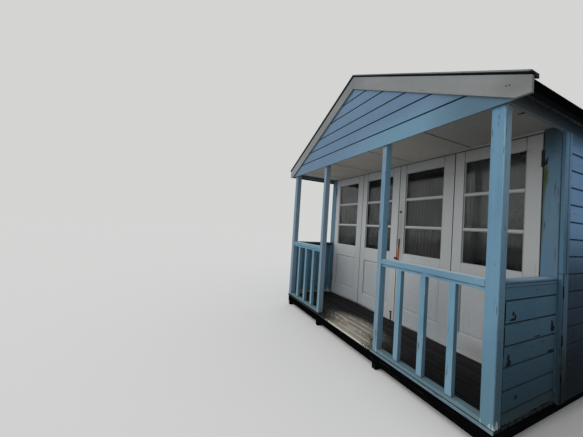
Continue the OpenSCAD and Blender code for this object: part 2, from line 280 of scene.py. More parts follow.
# %% Wear and flake group
n, given, out = new_group("worn_paint", {"Grain": ORIGIN, "Edge": 0.0, "Edge wear": 0.5, "Flaking": 0.3},
                          ("Bare",))
along = given["Grain"]
rub = n.cloud(along, (60, 60, 9), detail=5, roughness=0.65)
worn = n.fade(n.plus(rub, n.times(given["Edge"], given["Edge wear"])), 0.94, 1.06)
patch = n.cloud(along, (16, 16, 3.5), (5, 9, 2), 6, 0.62)
loose = n.fade(n.plus(patch, n.times(given["Flaking"], 0.3)), 0.83, 0.86)
n.feed(out, {"Bare": n.reckon("MAXIMUM", worn, loose)})
wear_group = n.tree
print("group:", wear_group.name)

# %% Dirt group
# Darkening low down and rain streaks; on the right-facing boards the darkening low down also stands for painted
# shade
n, given, out = new_group("rain_dirt_and_shade", {"Place": ORIGIN, "Low": 0.3, "Top": 1.1, "Full": 0.15},
                          ("Dirt_and_shade", "Blotch", "Height"))
place = given["Place"]
height = n.height_of(place)
runs = n.cloud(place, (26, 26, 1.1))
low = n.times(n.fade(height, given["Top"], given["Full"]), n.fade(runs, 0.25, 0.65, 0.94, 1.0))
streaks = n.times(n.fade(runs, 0.56, 0.72), 0.12)
n.feed(out, {"Dirt_and_shade": n.reckon("MAXIMUM", n.times(low, given["Low"]), streaks), "Height": height,
             "Blotch": n.cloud(place, (2.3, 2.3, 1.7), (4, 4, 4), 5, 0.6)})
dirt_and_shade_group = n.tree
print("group:", dirt_and_shade_group.name)

# %% Soft spot group
# A soft ball in space, used alike for holes, stains, and patches of painted light and shade
n, given, out = new_group("soft_spot", {"Place": ORIGIN, "Middle": ORIGIN, "Size": (0.02, 0.02, 0.02),
                                    "Inner": 0.8, "Ragged": 0.2}, ("Spot",))
away = n.put("VectorMath", {0: given["Place"], 1: given["Middle"]}, operation="SUBTRACT")
shrunk = n.put("VectorMath", {0: away, 1: given["Size"]}, operation="DIVIDE")
far = n.put("VectorMath", {0: shrunk}, "Value", operation="LENGTH")
uneven = n.fade(n.cloud(given["Place"], (70, 70, 70), detail=3), 0.3, 0.7, -1.0, 1.0)
edge = n.plus(far, n.times(uneven, given["Ragged"]))
n.feed(out, {"Spot": n.fade(edge, 1.05, given["Inner"])})
soft_spot_group = n.tree
print("group:", soft_spot_group.name)


def spot(n, place, middle, size, inner=0.8, ragged=0.2):
    return n.use(soft_spot_group, {"Place": place, "Middle": middle, "Size": size, "Inner": inner,
                 "Ragged": ragged})[0]


# %% [markdown]
# ## Painted timber
# One recipe serves all the painted boards, with other numbers for the blue boards, the white doors
# and the grey barge boards. From the top down it is paint, its slow change of tone, dirt and painted
# shade low down, stains and patches of painted light and shade, and then the bare wood or old
# undercoat where the paint has gone, most of all near the deck. The bump comes from the same fibres
# and flakes, so what looks worn is also a little lower. Stains, patches of painted light and shade,
# and holes are soft balls in space: the middle, the half size along x, y and z, and for a coloured
# ball how strong it is and its colour.

# %% Stains, painted light and shade, and holes
LEFT_FACE_LIGHT = (158, 182, 200)
STAINS_AND_LIGHT = {
    # The outer side of the corner post carries painted light above and painted shade near the ground
    "blue_front": [((1.487, -1.765, 2.0), (0.014, 0.3, 0.85), 0.75, (136, 166, 184)),
                   ((1.487, -1.765, 0.15), (0.014, 0.3, 1.1), 0.65, (44, 62, 72))],
    # Painted light: the right faces of the other posts, and the tops of the rails and cappings, are paler
    "blue_post": [((x, -1.765, 1.2), (0.012, 0.3, 2.0), strength, pale_tone) for x, strength, pale_tone in
                  ((0.532, 0.5, (124, 176, 206)), (-0.529, 0.6, LEFT_FACE_LIGHT), (-1.405, 0.45, LEFT_FACE_LIGHT))],
    "blue_rail": [((0.0, -1.75, 1.056), (4.0, 0.07, 0.012), 0.9, (200, 220, 230)),
                  # Painted light: the low parts of the rails and balusters are a little paler
                  ((0.0, -1.75, 0.28), (4.0, 0.3, 0.3), 0.2, (146, 176, 190))],
    # Painted light on the capping top and the upper corner strip, painted shade at the strip's foot
    "blue_strip": [((1.45, -1.4, 1.057), (0.07, 0.7, 0.010), 0.8, (150, 170, 190)),
                   ((1.507, -0.95, 2.0), (0.006, 0.12, 0.8), 0.8, (124, 164, 200)),
                   ((1.507, -0.95, 0.15), (0.006, 0.12, 0.55), 0.95, (3, 5, 6)),
                   ((1.49, -1.4, 1.035), (0.006, 0.7, 0.02), 0.6, (78, 118, 158))],
    # Painted shade: near black at the foot of the wall's veranda end, and darker on the top board under the
    # eave
    "blue_side": [((1.505, -1.0, 0.15), (0.1, 1.6, 0.9), 0.85, (4, 8, 16)),
                  ((1.505, 0.4, 2.16), (0.1, 4.0, 0.16), 0.65, (60, 82, 90))],
    "blue_gable": [((0.75, -1.82, 2.18), (1.1, 0.05, 0.26), 0.5, (112, 152, 170)),
                   ((1.40, -1.82, 2.22), (0.55, 0.05, 0.30), 0.45, (50, 68, 76))],
    # Rust and green slime run down from the hinge and the hook
    "blue_recess": [((1.395, -1.015, 1.83), (0.025, 0.03, 0.14), 0.95, (62, 66, 26)),
                    ((1.388, -1.015, 1.72), (0.018, 0.03, 0.16), 0.8, (74, 76, 30)),
                    ((1.401, -1.015, 1.935), (0.008, 0.03, 0.035), 1.0, (10, 12, 10)),
                    ((1.384, -1.015, 1.50), (0.018, 0.03, 0.34), 0.7, (66, 78, 44)),
                    # Painted shade: darker at the top of the board, under the ceiling
                    ((1.41, -1.015, 2.17), (0.16, 0.03, 0.26), 0.7, (46, 58, 58)),
                    ((1.484, -1.015, 1.45), (0.008, 0.03, 1.0), 0.8, (30, 44, 52))],
    # Painted shade: a near-black band along the top of each frieze, under the eave; the front end of the right
    # frieze is a paler grey
    "beam_blue": [((1.505, 0.0, 2.31), (0.05, 3.0, 0.06), 1.0, (3, 4, 5)),
                  ((-1.505, 0.0, 2.31), (0.05, 3.0, 0.06), 1.0, (3, 4, 5)),
                  ((1.505, -1.8, 2.2), (0.05, 0.9, 0.3), 0.85, (104, 108, 108))],
    # Painted shade: the right end of the ceiling is darker
    "ceiling_paint": [((1.45, -1.4, 2.2), (1.2, 1.5, 0.5), 0.85, (124, 122, 118))],
    "grey_barge": [((0.0, -1.842, 3.02), (0.30, 0.05, 0.2), 0.5, (104, 112, 116)),
                   ((1.58, -1.842, 2.24), (0.22, 0.05, 0.12), 0.6, (104, 106, 104)),
                   ((-1.5, -1.842, 2.3), (0.5, 0.05, 0.25), 0.5, (146, 147, 162))],
    # Painted shade: the end of the right strip is near black; the right-hand strip is also painted paler
    "verge_paint": [((1.3, -1.85, 2.43), (0.8, 0.1, 0.4), 0.6, (150, 152, 154)),
                    ((1.635, -1.85, 2.26), (0.035, 0.1, 0.05), 1.0, (12, 12, 13))],
    "eave_paint": [((0.0, 0.0, 2.1465), (4.0, 4.0, 0.0055), 1.0, (114, 120, 122))],
    # Painted shade: the broad veil over the right-hand doors and the band along the door tops
    # The black bands at their feet are damp and painted shade together; other veils are dust, and rust runs
    # beside the strap and down the edge
    "white_door": [((1.1, -1.0, 1.3), (1.25, 0.4, 1.6), 0.3, (124, 124, 122)),
                   ((0.42, -1.0, 0.50), (0.55, 0.4, 0.62), 0.4, (112, 120, 126)),
                   ((0.95, -1.0, 2.2), (1.2, 0.4, 0.48), 0.27, (122, 114, 100)),
                   ((0.055, -1.0, 1.30), (0.075, 0.4, 0.55), 0.55, (120, 114, 108)),
                   ((-0.7, -1.015, 0.17), (0.74, 0.05, 0.055), 0.95, (22, 21, 20)),
                   ((0.35, -1.015, 0.17), (0.42, 0.05, 0.035), 0.9, (30, 28, 26)),
                   ((0.002, -1.015, 0.52), (0.016, 0.02, 0.42), 0.8, (206, 186, 158)),
                   ((0.015, -1.015, 0.56), (0.006, 0.05, 0.42), 0.95, (52, 36, 28)),
                   ((0.012, -1.01, 1.62), (0.007, 0.05, 0.50), 0.6, (80, 70, 62)),
                   ((0.008, -1.015, 1.18), (0.010, 0.02, 0.09), 1.0, (54, 32, 26)),
                   ((0.015, -1.015, 1.04), (0.011, 0.02, 0.10), 1.0, (60, 34, 26)),
                   ((0.018, -1.015, 1.00), (0.010, 0.02, 0.045), 0.9, (186, 92, 56)),
                   ((0.040, -1.015, 0.94), (0.024, 0.02, 0.05), 0.7, (160, 96, 66)),
                   ((1.036, -1.0, 0.25), (0.34, 0.05, 0.12), 0.4, (112, 98, 90)),
                   ((1.262, -1.0, 2.052), (0.035, 0.05, 0.020), 0.7, (76, 60, 48))],
}
HOLES = {
    # Rot and knocks in the right side panel and in the corner strip behind it
    "blue_panel": [((1.483, y, z), (0.03, half_y, half_z)) for y, z, half_y, half_z in (
        (-1.559, 0.317, 0.016, 0.018), (-1.625, 0.812, 0.045, 0.009), (-1.598, 0.828, 0.013, 0.020),
        (-1.622, 0.850, 0.013, 0.018), (-1.076, 0.696, 0.034, 0.026), (-1.082, 0.728, 0.018, 0.026),
        (-1.659, 0.543, 0.030, 0.028), (-1.664, 0.578, 0.017, 0.026), (-1.090, 0.538, 0.055, 0.009),
        (-1.719, 0.86, 0.010, 0.075), (-1.719, 0.70, 0.008, 0.10), (-1.30, 0.668, 0.05, 0.005))],
    "blue_strip": [((1.509, y, z), (0.03, half_y, half_z)) for y, z, half_y, half_z in (
        (-0.988, 0.955, 0.007, 0.06), (-0.986, 0.60, 0.006, 0.045), (-0.987, 0.33, 0.006, 0.035))],
    # Nail heads in the barge board, and a slot in the ceiling
    "grey_barge": [((x, -1.842, z), (0.005, 0.02, 0.005)) for x, z in ((1.514, 2.241), (1.497, 2.244))],
    "ceiling_paint": [((1.432, -1.465, 2.2), (0.034, 0.016, 0.02))],
}
# Only the veranda end of the right wall is near black low down, damp and painted shade together: the
# middle of that end, its half size, its inner part and how ragged it is. The rest of the boarding has the
# second number as its dirt.
DAMP_AND_SHADE_END = ((1.5, -1.0, 0.6), (0.6, 2.2, 2.6), 0.35, 0.0)
DRY_END = 0.5
print("stains:", sum(map(len, STAINS_AND_LIGHT.values())), "holes:", sum(map(len, HOLES.values())))

# %% Recipe for painted boards
def painted_timber(name, paint, faded, bare, grime_and_shade, edge_wear=0.3, flaking=0.02, low_dirt_and_shade=0.0,
                   roughness=0.6, fibre=1.0, chips=0.0, cracks=0.75, dirt_top=1.1, dirt_full=0.15,
                   shine=0.12, deep=(8, 20, 28), damp_and_shade_end=None):
    n, shader, place = new_finish(name)
    along = n.board_data("grain", "Vector")
    grain = n.use(grain_group, {"Grain": along})
    if damp_and_shade_end:
        low_dirt_and_shade = n.plus(n.times(spot(n, place, *damp_and_shade_end), low_dirt_and_shade - DRY_END), DRY_END)
    dirt_and_shade = n.use(dirt_and_shade_group, {"Place": place, "Low": low_dirt_and_shade, "Top": dirt_top, "Full": dirt_full})
    loose = flaking
    if chips:
        loose = n.plus(n.fade(dirt_and_shade["Height"], floor_z + 0.14, floor_z + 0.01, 0, chips), flaking)
    wear = n.use(wear_group, {"Grain": along, "Edge": n.board_data("edge"), "Edge wear": edge_wear,
                 "Flaking": loose})["Bare"]
    colour = n.mix(n.fade(dirt_and_shade["Blotch"], 0.3, 0.7), paint, faded)
    colour = n.mix(n.fade(n.board_data("board"), 0.0, 1.0, 0.0, 0.12), colour, (60, 70, 76))
    colour = n.mix(n.fade(grain["Streak"], 0.35, 0.7, 0.0, 0.5), colour, faded)
    colour = n.mix(dirt_and_shade["Dirt_and_shade"], colour, grime_and_shade)
    # Stains, and patches of painted light and shade
    for middle, size, strength, stain_and_light in STAINS_AND_LIGHT.get(name, ()):
        colour = n.mix(n.times(spot(n, place, middle, size, 0.2, 0.1), strength), colour, stain_and_light)
    colour = n.mix(wear, colour, n.mix(n.fade(grain["Fibre"], 0.3, 0.7, 0.0, 0.5), bare, grime_and_shade))
    colour = n.mix(n.times(grain["Crack"], cracks), colour, (34, 36, 38))
    sunk = wear
    for middle, size in HOLES.get(name, ()):
        hole = spot(n, place, middle, size)
        colour = n.mix(hole, colour, (4, 8, 12))
        sunk = n.reckon("MAXIMUM", sunk, hole)
    colour = n.mix(n.times(n.board_data("joint"), 0.92), colour, deep)
    rough = n.fade(grain["Fibre"], 0.2, 0.8, roughness - 0.08, roughness + 0.1)
    height = n.reckon("SUBTRACT", n.times(grain["Fibre"], 0.35 * fibre), sunk)
    n.feed(shader, {"Base Color": colour, "Specular IOR Level": shine,
                    "Roughness": n.reckon("ADD", rough, n.times(wear, 0.25), use_clamp=True),
                    "Normal": n.bump(0.45, 0.0012, n.reckon("SUBTRACT", height, grain["Crack"]))})


# %% Painted finishes
# Each has its paint, its faded paint, what shows where it is bare, and its grime, which low on the right-facing
# boards also stands for painted shade
painted_timber("blue_front", (90, 129, 155), (106, 143, 166), (176, 192, 186), (90, 120, 132),
               edge_wear=0.34, flaking=0.06, low_dirt_and_shade=0.7, chips=1.2, cracks=0.95)
painted_timber("blue_post", (102, 132, 152), (122, 142, 158), (166, 176, 170), (112, 136, 146),
               edge_wear=0.34, flaking=0.06, low_dirt_and_shade=0.6, chips=0.8, cracks=0.95)
painted_timber("blue_gable", (107, 131, 154), (100, 126, 150), (140, 156, 164), (84, 106, 120),
               edge_wear=0.15, flaking=0.0, fibre=0.5, cracks=0.12)
painted_timber("blue_rail", (96, 133, 155), (112, 148, 168), (166, 190, 198), (104, 134, 146),
               edge_wear=0.4, flaking=0.12, low_dirt_and_shade=0.25, chips=0.5)
painted_timber("blue_low", (108, 136, 150), (118, 146, 158), (156, 172, 174), (74, 90, 94),
               edge_wear=0.4, flaking=0.12, low_dirt_and_shade=0.4, chips=0.4, cracks=0.95)
# The walls are darkened low down by dirt; at the veranda end of the right wall the near-black foot is painted
# shade as well
painted_timber("blue_side", (122, 162, 204), (126, 165, 206), (90, 118, 138), (20, 38, 54), edge_wear=0.2,
               low_dirt_and_shade=0.93, dirt_top=1.55, dirt_full=0.98, shine=0.04, damp_and_shade_end=DAMP_AND_SHADE_END)
painted_timber("blue_strip", (74, 104, 126), (82, 112, 132), (108, 130, 134), (50, 62, 65), flaking=0.08,
               low_dirt_and_shade=0.9, dirt_top=1.15, dirt_full=0.3, shine=0.05)
# The right side panel is darker than the left one, weathering and painted shade together
painted_timber("blue_panel", (66, 103, 126), (76, 109, 128), (46, 60, 64), (30, 48, 56), edge_wear=0.25,
               flaking=0.1, low_dirt_and_shade=0.85, shine=0.06)
painted_timber("blue_foot", (66, 90, 102), (54, 76, 84), (110, 124, 116), (26, 38, 42), edge_wear=0.35,
               flaking=0.45, low_dirt_and_shade=0.6, cracks=1.0, shine=0.06)
painted_timber("blue_recess", (84, 112, 132), (92, 120, 138), (120, 138, 140), (56, 78, 80),
               flaking=0.04, low_dirt_and_shade=0.3)
painted_timber("beam_blue", (94, 114, 128), (84, 102, 112), (60, 66, 64), (44, 52, 52), flaking=0.1,
               deep=(4, 6, 8))
painted_timber("white_door", (184, 185, 184), (177, 180, 182), (160, 152, 138), (140, 152, 162),
               edge_wear=0.2, flaking=0.0, low_dirt_and_shade=0.26, dirt_top=1.2, roughness=0.5, fibre=0.5,
               cracks=0.3, shine=0.3, deep=(14, 13, 12))
painted_timber("grey_barge", (134, 136, 135), (126, 128, 128), (112, 110, 100), (100, 101, 100),
               flaking=0.0, fibre=0.6, cracks=0.25)
painted_timber("verge_paint", (106, 109, 113), (98, 101, 104), (66, 66, 62), (72, 76, 78),
               edge_wear=0.42, flaking=0.12, shine=0.06, deep=(12, 13, 14))
painted_timber("ceiling_paint", (208, 202, 193), (198, 191, 181), (120, 108, 94), (152, 142, 128),
               fibre=0.4, deep=(30, 24, 20))
painted_timber("tarred", (7, 7, 8), (11, 11, 11), (40, 40, 38), (5, 5, 5), low_dirt_and_shade=0.4,
               roughness=0.75, shine=0.0, deep=(2, 2, 2))
painted_timber("eave_paint", (12, 13, 14), (9, 10, 11), (40, 40, 38), (7, 8, 9), roughness=0.7,
               shine=0.0, deep=(2, 2, 2))
print("painted finishes:", len(finishes))

# %% [markdown]
# ## Bare timber, felt, rust, glass and net
# The deck has long lost its finish: it is dark and damp, grey on the raised fibres, with pale flecks
# near its front edge, where feet have rubbed it. In the open bay it is paler still, worn by feet and
# with a painted pool of sunlight, and behind the right rail it is darker with painted shade. The
# inside of the roof is dry sawn softwood. Both read the same grain group, but with no paint over it.
# The felt is sand on tar, so it is a fine grit with washed patches, and the iron is scale with an
# orange bloom.

# %% Bare timber
# The open bay, rubbed by feet and carrying a painted pool of sunlight, and the corner behind the right rail,
# which carries painted shade
WALKED_AND_SUNLIT = [((0.06, -1.80, 0.17), (0.42, 0.25, 0.25)), ((-0.10, -1.55, 0.17), (0.48, 0.23, 0.25))]
SHADED_BAY = ((1.05, -1.6, 0.17), (0.5, 0.36, 0.1))


def bare_timber(name, dark, light, roughness, rubbed_and_sunlit=None):
    n, shader, place = new_finish(name)
    along = n.board_data("grain", "Vector")
    grain = n.use(grain_group, {"Grain": along})
    rings = n.put("TexWave", {"Vector": n.scaled(along, (42, 42, 1.2)), "Scale": 1.0, "Distortion": 5.0,
                  "Detail": 2.0, "Detail Scale": 1.2}, "Fac")
    mixed = n.plus(n.times(rings, 0.4), n.times(grain["Streak"], 0.7))
    colour = n.mix(n.fade(mixed, 0.25, 0.85), dark, light)
    colour = n.mix(n.fade(n.board_data("board"), 0, 1, 0, 0.4), colour, dark)
    colour = n.mix(n.times(grain["Crack"], 0.8), colour, (18, 17, 16))
    # Where feet have rubbed the deck it is paler, and paler still as a painted pool of sunlight; behind the
    # right rail is painted shade
    if rubbed_and_sunlit:
        entry, behind = (spot(n, place, *part, 0.55, 0.25) for part in WALKED_AND_SUNLIT)
        trodden_and_sunlit = n.reckon("MAXIMUM", entry, n.times(behind, 0.75))
        worn = n.use(wear_group, {"Grain": along, "Edge": n.board_data("edge"),
                     "Edge wear": n.times(trodden_and_sunlit, 0.7), "Flaking": n.times(trodden_and_sunlit, 0.95)})["Bare"]
        colour = n.mix(n.times(trodden_and_sunlit, 0.88), colour, (168, 160, 148))
        colour = n.mix(n.times(spot(n, place, *SHADED_BAY, 0.3), 0.65), colour, (8, 8, 9))
        colour = n.mix(worn, colour, rubbed_and_sunlit)
    colour = n.mix(n.times(n.board_data("joint"), 0.9), colour, (8, 8, 8))
    n.feed(shader, {"Base Color": colour, "Specular IOR Level": 0.08,
                    "Roughness": n.fade(grain["Streak"], 0.2, 0.8, roughness - 0.12, roughness + 0.14),
                    "Normal": n.bump(0.6, 0.0015, n.reckon("SUBTRACT", grain["Fibre"], grain["Crack"]))})


bare_timber("deck_timber", (14, 14, 15), (54, 53, 52), roughness=0.6, rubbed_and_sunlit=(186, 182, 170))
bare_timber("sawn_timber", (120, 98, 68), (168, 142, 106), roughness=0.8)
print("bare finishes: deck_timber sawn_timber")

# %% Roofing felt
n, shader, place = new_finish("roof_felt")
grit = n.put("TexVoronoi", {"Vector": place, "Scale": 900.0}, "Color")
grit = n.put("SeparateColor", {0: grit})
patches = n.cloud(place, (1.2, 3.5, 1.2), detail=6, roughness=0.65)
washed = n.cloud(place, (9, 1.4, 9), (2, 2, 2))
colour = n.mix(n.fade(patches, 0.3, 0.7), (76, 78, 78), (102, 104, 103))
colour = n.mix(n.fade(washed, 0.5, 0.75, 0, 0.35), colour, (64, 68, 60))
colour = n.mix(n.times(grit, 0.25), colour, (150, 150, 146))
swell = n.bump(0.35, 0.02, n.cloud(place, (3, 3, 3), detail=3), Normal=n.bump(0.5, 0.001, grit))
n.feed(shader, {"Base Color": n.mix(n.board_data("joint"), colour, (9, 9, 10)), "Normal": swell,
                "Specular IOR Level": 0.0, "Roughness": n.fade(grit, 0, 1, 0.8, 0.97)})
print("felt: roof_felt")

# %% Rust, glass and net
def rusted_iron(name, orange_below=0.0):
    n, shader, place = new_finish(name)
    scale = n.cloud(place, (55, 55, 28), detail=6, roughness=0.7)
    bloom = n.cloud(place, (14, 14, 9), (1, 3, 2))
    colour = n.mix(n.fade(scale, 0.4, 0.62), (20, 17, 17), (44, 32, 30))
    colour = n.mix(n.fade(bloom, 0.58, 0.72), colour, (92, 54, 38))
    low = n.fade(n.plus(n.height_of(place), n.times(bloom, 0.12)), orange_below + 0.09, orange_below + 0.03)
    orange = n.mix(n.fade(scale, 0.4, 0.6), (146, 56, 28), (170, 84, 50))
    n.feed(shader, {"Base Color": n.mix(low, colour, orange), "Roughness": n.fade(scale, 0.3, 0.7, 0.6, 0.95),
                    "Metallic": n.fade(scale, 0.42, 0.5, 0.4, 0.0), "Normal": n.bump(0.8, 0.0015, scale)})


rusted_iron("rust")
rusted_iron("strap_rust", orange_below=1.13)

n, shader, place = new_finish("old_glass")
film = n.cloud(place, (5, 5, 3), detail=5)
n.feed(shader, {"Transmission Weight": 1.0, "IOR": 1.33, "Roughness": n.fade(film, 0.4, 0.8, 0.04, 0.2),
                "Base Color": n.mix(n.fade(film, 0.3, 0.7), (177, 179, 179), (161, 163, 163)),
                "Normal": n.bump(0.05, 0.01, n.cloud(place, (2, 2, 4), detail=1))})

# Painted light makes parts of the cloth paler, and damp has left brown patches on that of the second leaf
CLOTH_LIGHT_AND_STAINS = [((-1.036, -0.968, 1.5), (0.34, 0.05, 0.62), 0.6, 1.0, (120, 121, 119)),
                ((0.0, -0.968, 1.13), (0.70, 0.05, 0.30), 0.6, 0.8, (112, 112, 110)),
                ((1.0, -0.968, 1.80), (0.36, 0.05, 0.45), 0.6, 1.0, (156, 158, 156)),
                ((-0.36, -0.968, 1.62), (0.03, 0.05, 0.17), 0.0, 0.7, (96, 72, 52)),
                ((-0.36, -0.968, 1.22), (0.035, 0.05, 0.16), 0.0, 0.8, (96, 72, 52))]
n, shader, place = new_finish("net_cloth")
flat = n.put("TexCoord", {}, "UV")
weave = n.times(n.put("TexWave", {"Vector": n.scaled(flat, (220, 0, 0)), "Scale": 1.0}, "Fac"),
                n.put("TexWave", {"Vector": n.scaled(flat, (0, 220, 0)), "Scale": 1.0}, "Fac",
                      bands_direction="Y"))
colour = n.mix(n.fade(n.cloud(place, (3, 2, 2.2)), 0.35, 0.7), (62, 63, 64), (88, 89, 87))
colour = n.mix(n.fade(weave, 0, 1, 0, 0.1), colour, (140, 140, 138))
for middle, size, inner, strength, stain_and_light in CLOTH_LIGHT_AND_STAINS:
    colour = n.mix(n.times(spot(n, place, middle, size, inner), strength), colour, stain_and_light)
n.feed(shader, {"Base Color": colour, "Roughness": 0.9, "Specular IOR Level": 0.05,
                "Normal": n.bump(0.3, 0.0006, weave)})
print("finishes in all:", len(finishes))

# %% [markdown]
# ## How a board is made
# A board is a block or a straight run of one outline. Its arrises are taken off a little, its wide
# faces get a narrow rim, and four things are stored in its points: how near an arris is, how deep in
# a joint or how much painted shade it carries, where the point lies along the grain, and a tone of
# its own. Each board starts at another place in the grain, so that no two look alike. One mesh is on
# the bench at a time: the helpers add boards to it, and finish makes a piece of it and clears the
# bench for the next. How deep in a joint a point lies, or how much painted shade it carries, is a
# test of its place, given with the board: no or yes, or a number from 0 to 1.

# %% Board helpers
WITH_GRAIN = {"x": Matrix(((0, 1, 0), (0, 0, 1), (1, 0, 0))),
              "y": Matrix(((1, 0, 0), (0, 0, 1), (0, 1, 0))),
              "z": Matrix.Identity(3)}
bench = bmesh.new()


def clear_bench():
    bench.clear()
    for name in ("edge", "board", "joint"):
        bench.verts.layers.float.new(name)
    bench.verts.layers.float_vector.new("grain")


def fresh_verts():
    board = bench.verts.layers.float["board"]
    return [v for v in bench.verts if v[board] == 0.0]


def settle(grain_axis, soften, rim, lean=0.0, joint=None):
    edge, board, deep = (bench.verts.layers.float[name] for name in ("edge", "board", "joint"))
    grain = bench.verts.layers.float_vector["grain"]
    verts = set(fresh_verts())
    faces = [f for f in bench.faces if f.verts[0] in verts]
    bmesh.ops.recalc_face_normals(bench, faces=faces)
    if soften:
        arrises = list({e for f in faces for e in f.edges if e.is_manifold and e.calc_face_angle(0) > 0.5})
        bmesh.ops.bevel(bench, geom=arrises, offset=soften, offset_type="OFFSET", segments=2, profile=0.5,
                        affect="EDGES", material=-1, clamp_overlap=True)
    verts = set(fresh_verts())
    wide = [f for f in bench.faces
            if f.verts[0] in verts and min(e.calc_length() for e in f.edges) > 2.4 * rim]
    if wide:
        bmesh.ops.inset_individual(bench, faces=wide, thickness=rim, use_even_offset=True)
    bench.normal_update()
    turned = WITH_GRAIN[grain_axis] @ Matrix.Rotation(lean, 3, "Y")
    shift = Vector((chance.uniform(0, 9), chance.uniform(0, 9), chance.uniform(0, 9)))
    shade = chance.uniform(0.05, 1.0)
    for v in fresh_verts():
        normals = [f.normal for f in v.link_faces]
        v[edge] = 0.0 if all(normals[0].dot(n) > 0.97 for n in normals) else 1.0
        v[deep] = float(joint(v.co)) if joint else 0.0
        v[grain] = turned @ v.co + shift
        v[board] = shade


def cube(low, high):
    low, high = Vector(low), Vector(high)
    place = Matrix.Translation((low + high) / 2) @ Matrix.Diagonal((*(high - low), 1))
    bmesh.ops.create_cube(bench, size=1.0, matrix=place)


def block(low, high, grain_axis, soften=0.002, rim=0.008, joint=None):
    cube(low, high)
    settle(grain_axis, soften, rim, joint=joint)


def run(outline, axis, start, end, soften=0.0015, rim=0.008, grain_axis=None, lean=0.0, cuts=(), pieces=1,
        shape=None, joint=None):
    spread = {"x": lambda a, b, s: (s, a, b), "y": lambda a, b, s: (a, s, b),
              "z": lambda a, b, s: (a, b, s)}[axis]
    first = bench.faces.new([bench.verts.new(spread(a, b, start)) for a, b in outline])
    grown = bmesh.ops.extrude_face_region(bench, geom=[first])["geom"]
    moved = [v for v in grown if isinstance(v, bmesh.types.BMVert)]
    bmesh.ops.translate(bench, verts=moved, vec=Vector(spread(0, 0, end - start)))
    for point, normal in cuts:
        verts = fresh_verts()
        around = {e for v in verts for e in v.link_edges} | {f for v in verts for f in v.link_faces}
        cut = bmesh.ops.bisect_plane(bench, geom=verts + list(around), plane_co=point, plane_no=normal,
                                     clear_outer=True)
        edges = [e for e in cut["geom_cut"] if isinstance(e, bmesh.types.BMEdge) and e.is_boundary]
        bmesh.ops.holes_fill(bench, edges=edges, sides=0)
    if pieces > 1:
        index = "xyz".index(axis)
        long_edges = {e for v in fresh_verts() for e in v.link_edges
                      if abs(e.verts[0].co[index] - e.verts[1].co[index]) > 0.8 * abs(end - start)}
        bmesh.ops.subdivide_edges(bench, edges=list(long_edges), cuts=pieces - 1, use_grid_fill=True)
    if shape:
        shape(fresh_verts())
    settle(grain_axis or axis, soften, rim, lean, joint)


def finish(name, paint, node):
    mesh = bpy.data.meshes.new(name)
    bench.to_mesh(mesh)
    clear_bench()
    piece = into_scene(name, mesh)
    mesh.materials.append(finishes[paint])
    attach(piece, "root")
    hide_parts(node)
    print(f"{name}: {len(mesh.polygons)} faces")


def span(side, a, b):
    return (min(side * a, side * b), max(side * a, side * b))


def mirrored(outline, side):
    return [(side * x, z) for x, z in outline]


def both_sides(outline, y0, y1, soften=0.001, rim=0.008, lean=True, joint=None):
    for side in (1, -1):
        run(mirrored(outline, side), "y", y0, y1, soften, rim, "x" if lean else "y",
            -side * RAKE if lean else 0.0, joint=joint)


def layer(x0, x1, low, high):
    return [(x0, roof_z(x0) + low), (x1, roof_z(x1) + low), (x1, roof_z(x1) + high), (x0, roof_z(x0) + high)]


def under_roof(x0, x1, z):
    return [(x0, z), (x1, z), (x1, frame_z(x1)), (x0, frame_z(x0))]


clear_bench()
print("board helpers ready")

# %% [markdown]
# ## Floor, rims and feet
# The floor of the hut is carried by four long bearers on blocks, closed at the front and the back by
# a dark rim board. The deck boards run across the front with narrow gaps, so the light falls between
# them, and only the deck's edge under the right rail has been painted. Straight blocks are the right
# tool here: what makes them real is the gap, the arris and the grain.

# %% Feet, bearers and rims
FOOT_HALF, LEG_HALF, BEARER_HALF, RIM_T = 0.05, 0.025, 0.035, 0.022
bearer_low, bearer_high = solid("floor_bearers")
bearer_xs = [k * (half_w - FOOT_HALF) for k in (-1, -1 / 3, 1 / 3, 1)]
for x in bearer_xs:
    for y in (0.0, back_y - FOOT_HALF):
        block((x - FOOT_HALF, y - FOOT_HALF, 0), (x + FOOT_HALF, y + FOOT_HALF, bearer_low.z), "x", 0.004, 0.01)
finish("feet", "tarred", "foot_blocks")
for node in POSTS:
    low, high = solid(node)
    middle = (low.x + high.x) / 2
    block((middle - LEG_HALF, front_y + 0.004, 0), (middle + LEG_HALF, post_back, bearer_low.z), "z", 0.003)
    finish(node.replace("post", "leg"), "tarred", "foot_blocks")
for x in bearer_xs:
    block((x - BEARER_HALF, bearer_low.y, bearer_low.z), (x + BEARER_HALF, bearer_high.y, bearer_high.z), "y")
finish("bearers", "tarred", "floor_bearers")
for y in (front_y, back_y - RIM_T):
    block((-half_w, y, bearer_low.z), (half_w, y + RIM_T, bearer_high.z), "x", 0.003, 0.01)
finish("rims", "tarred", "rim_boards")

# %% Deck and room floor
DECK_BOARDS, DECK_GAP, FLOOR_BOARDS = 9, 0.007, 23
EDGE_START, EDGE_T = 0.462, 0.0145
low, high = solid("veranda_deck")


def deck_gap(co):
    return co.z < high.z - 0.012 and co.y > low.y + 0.001


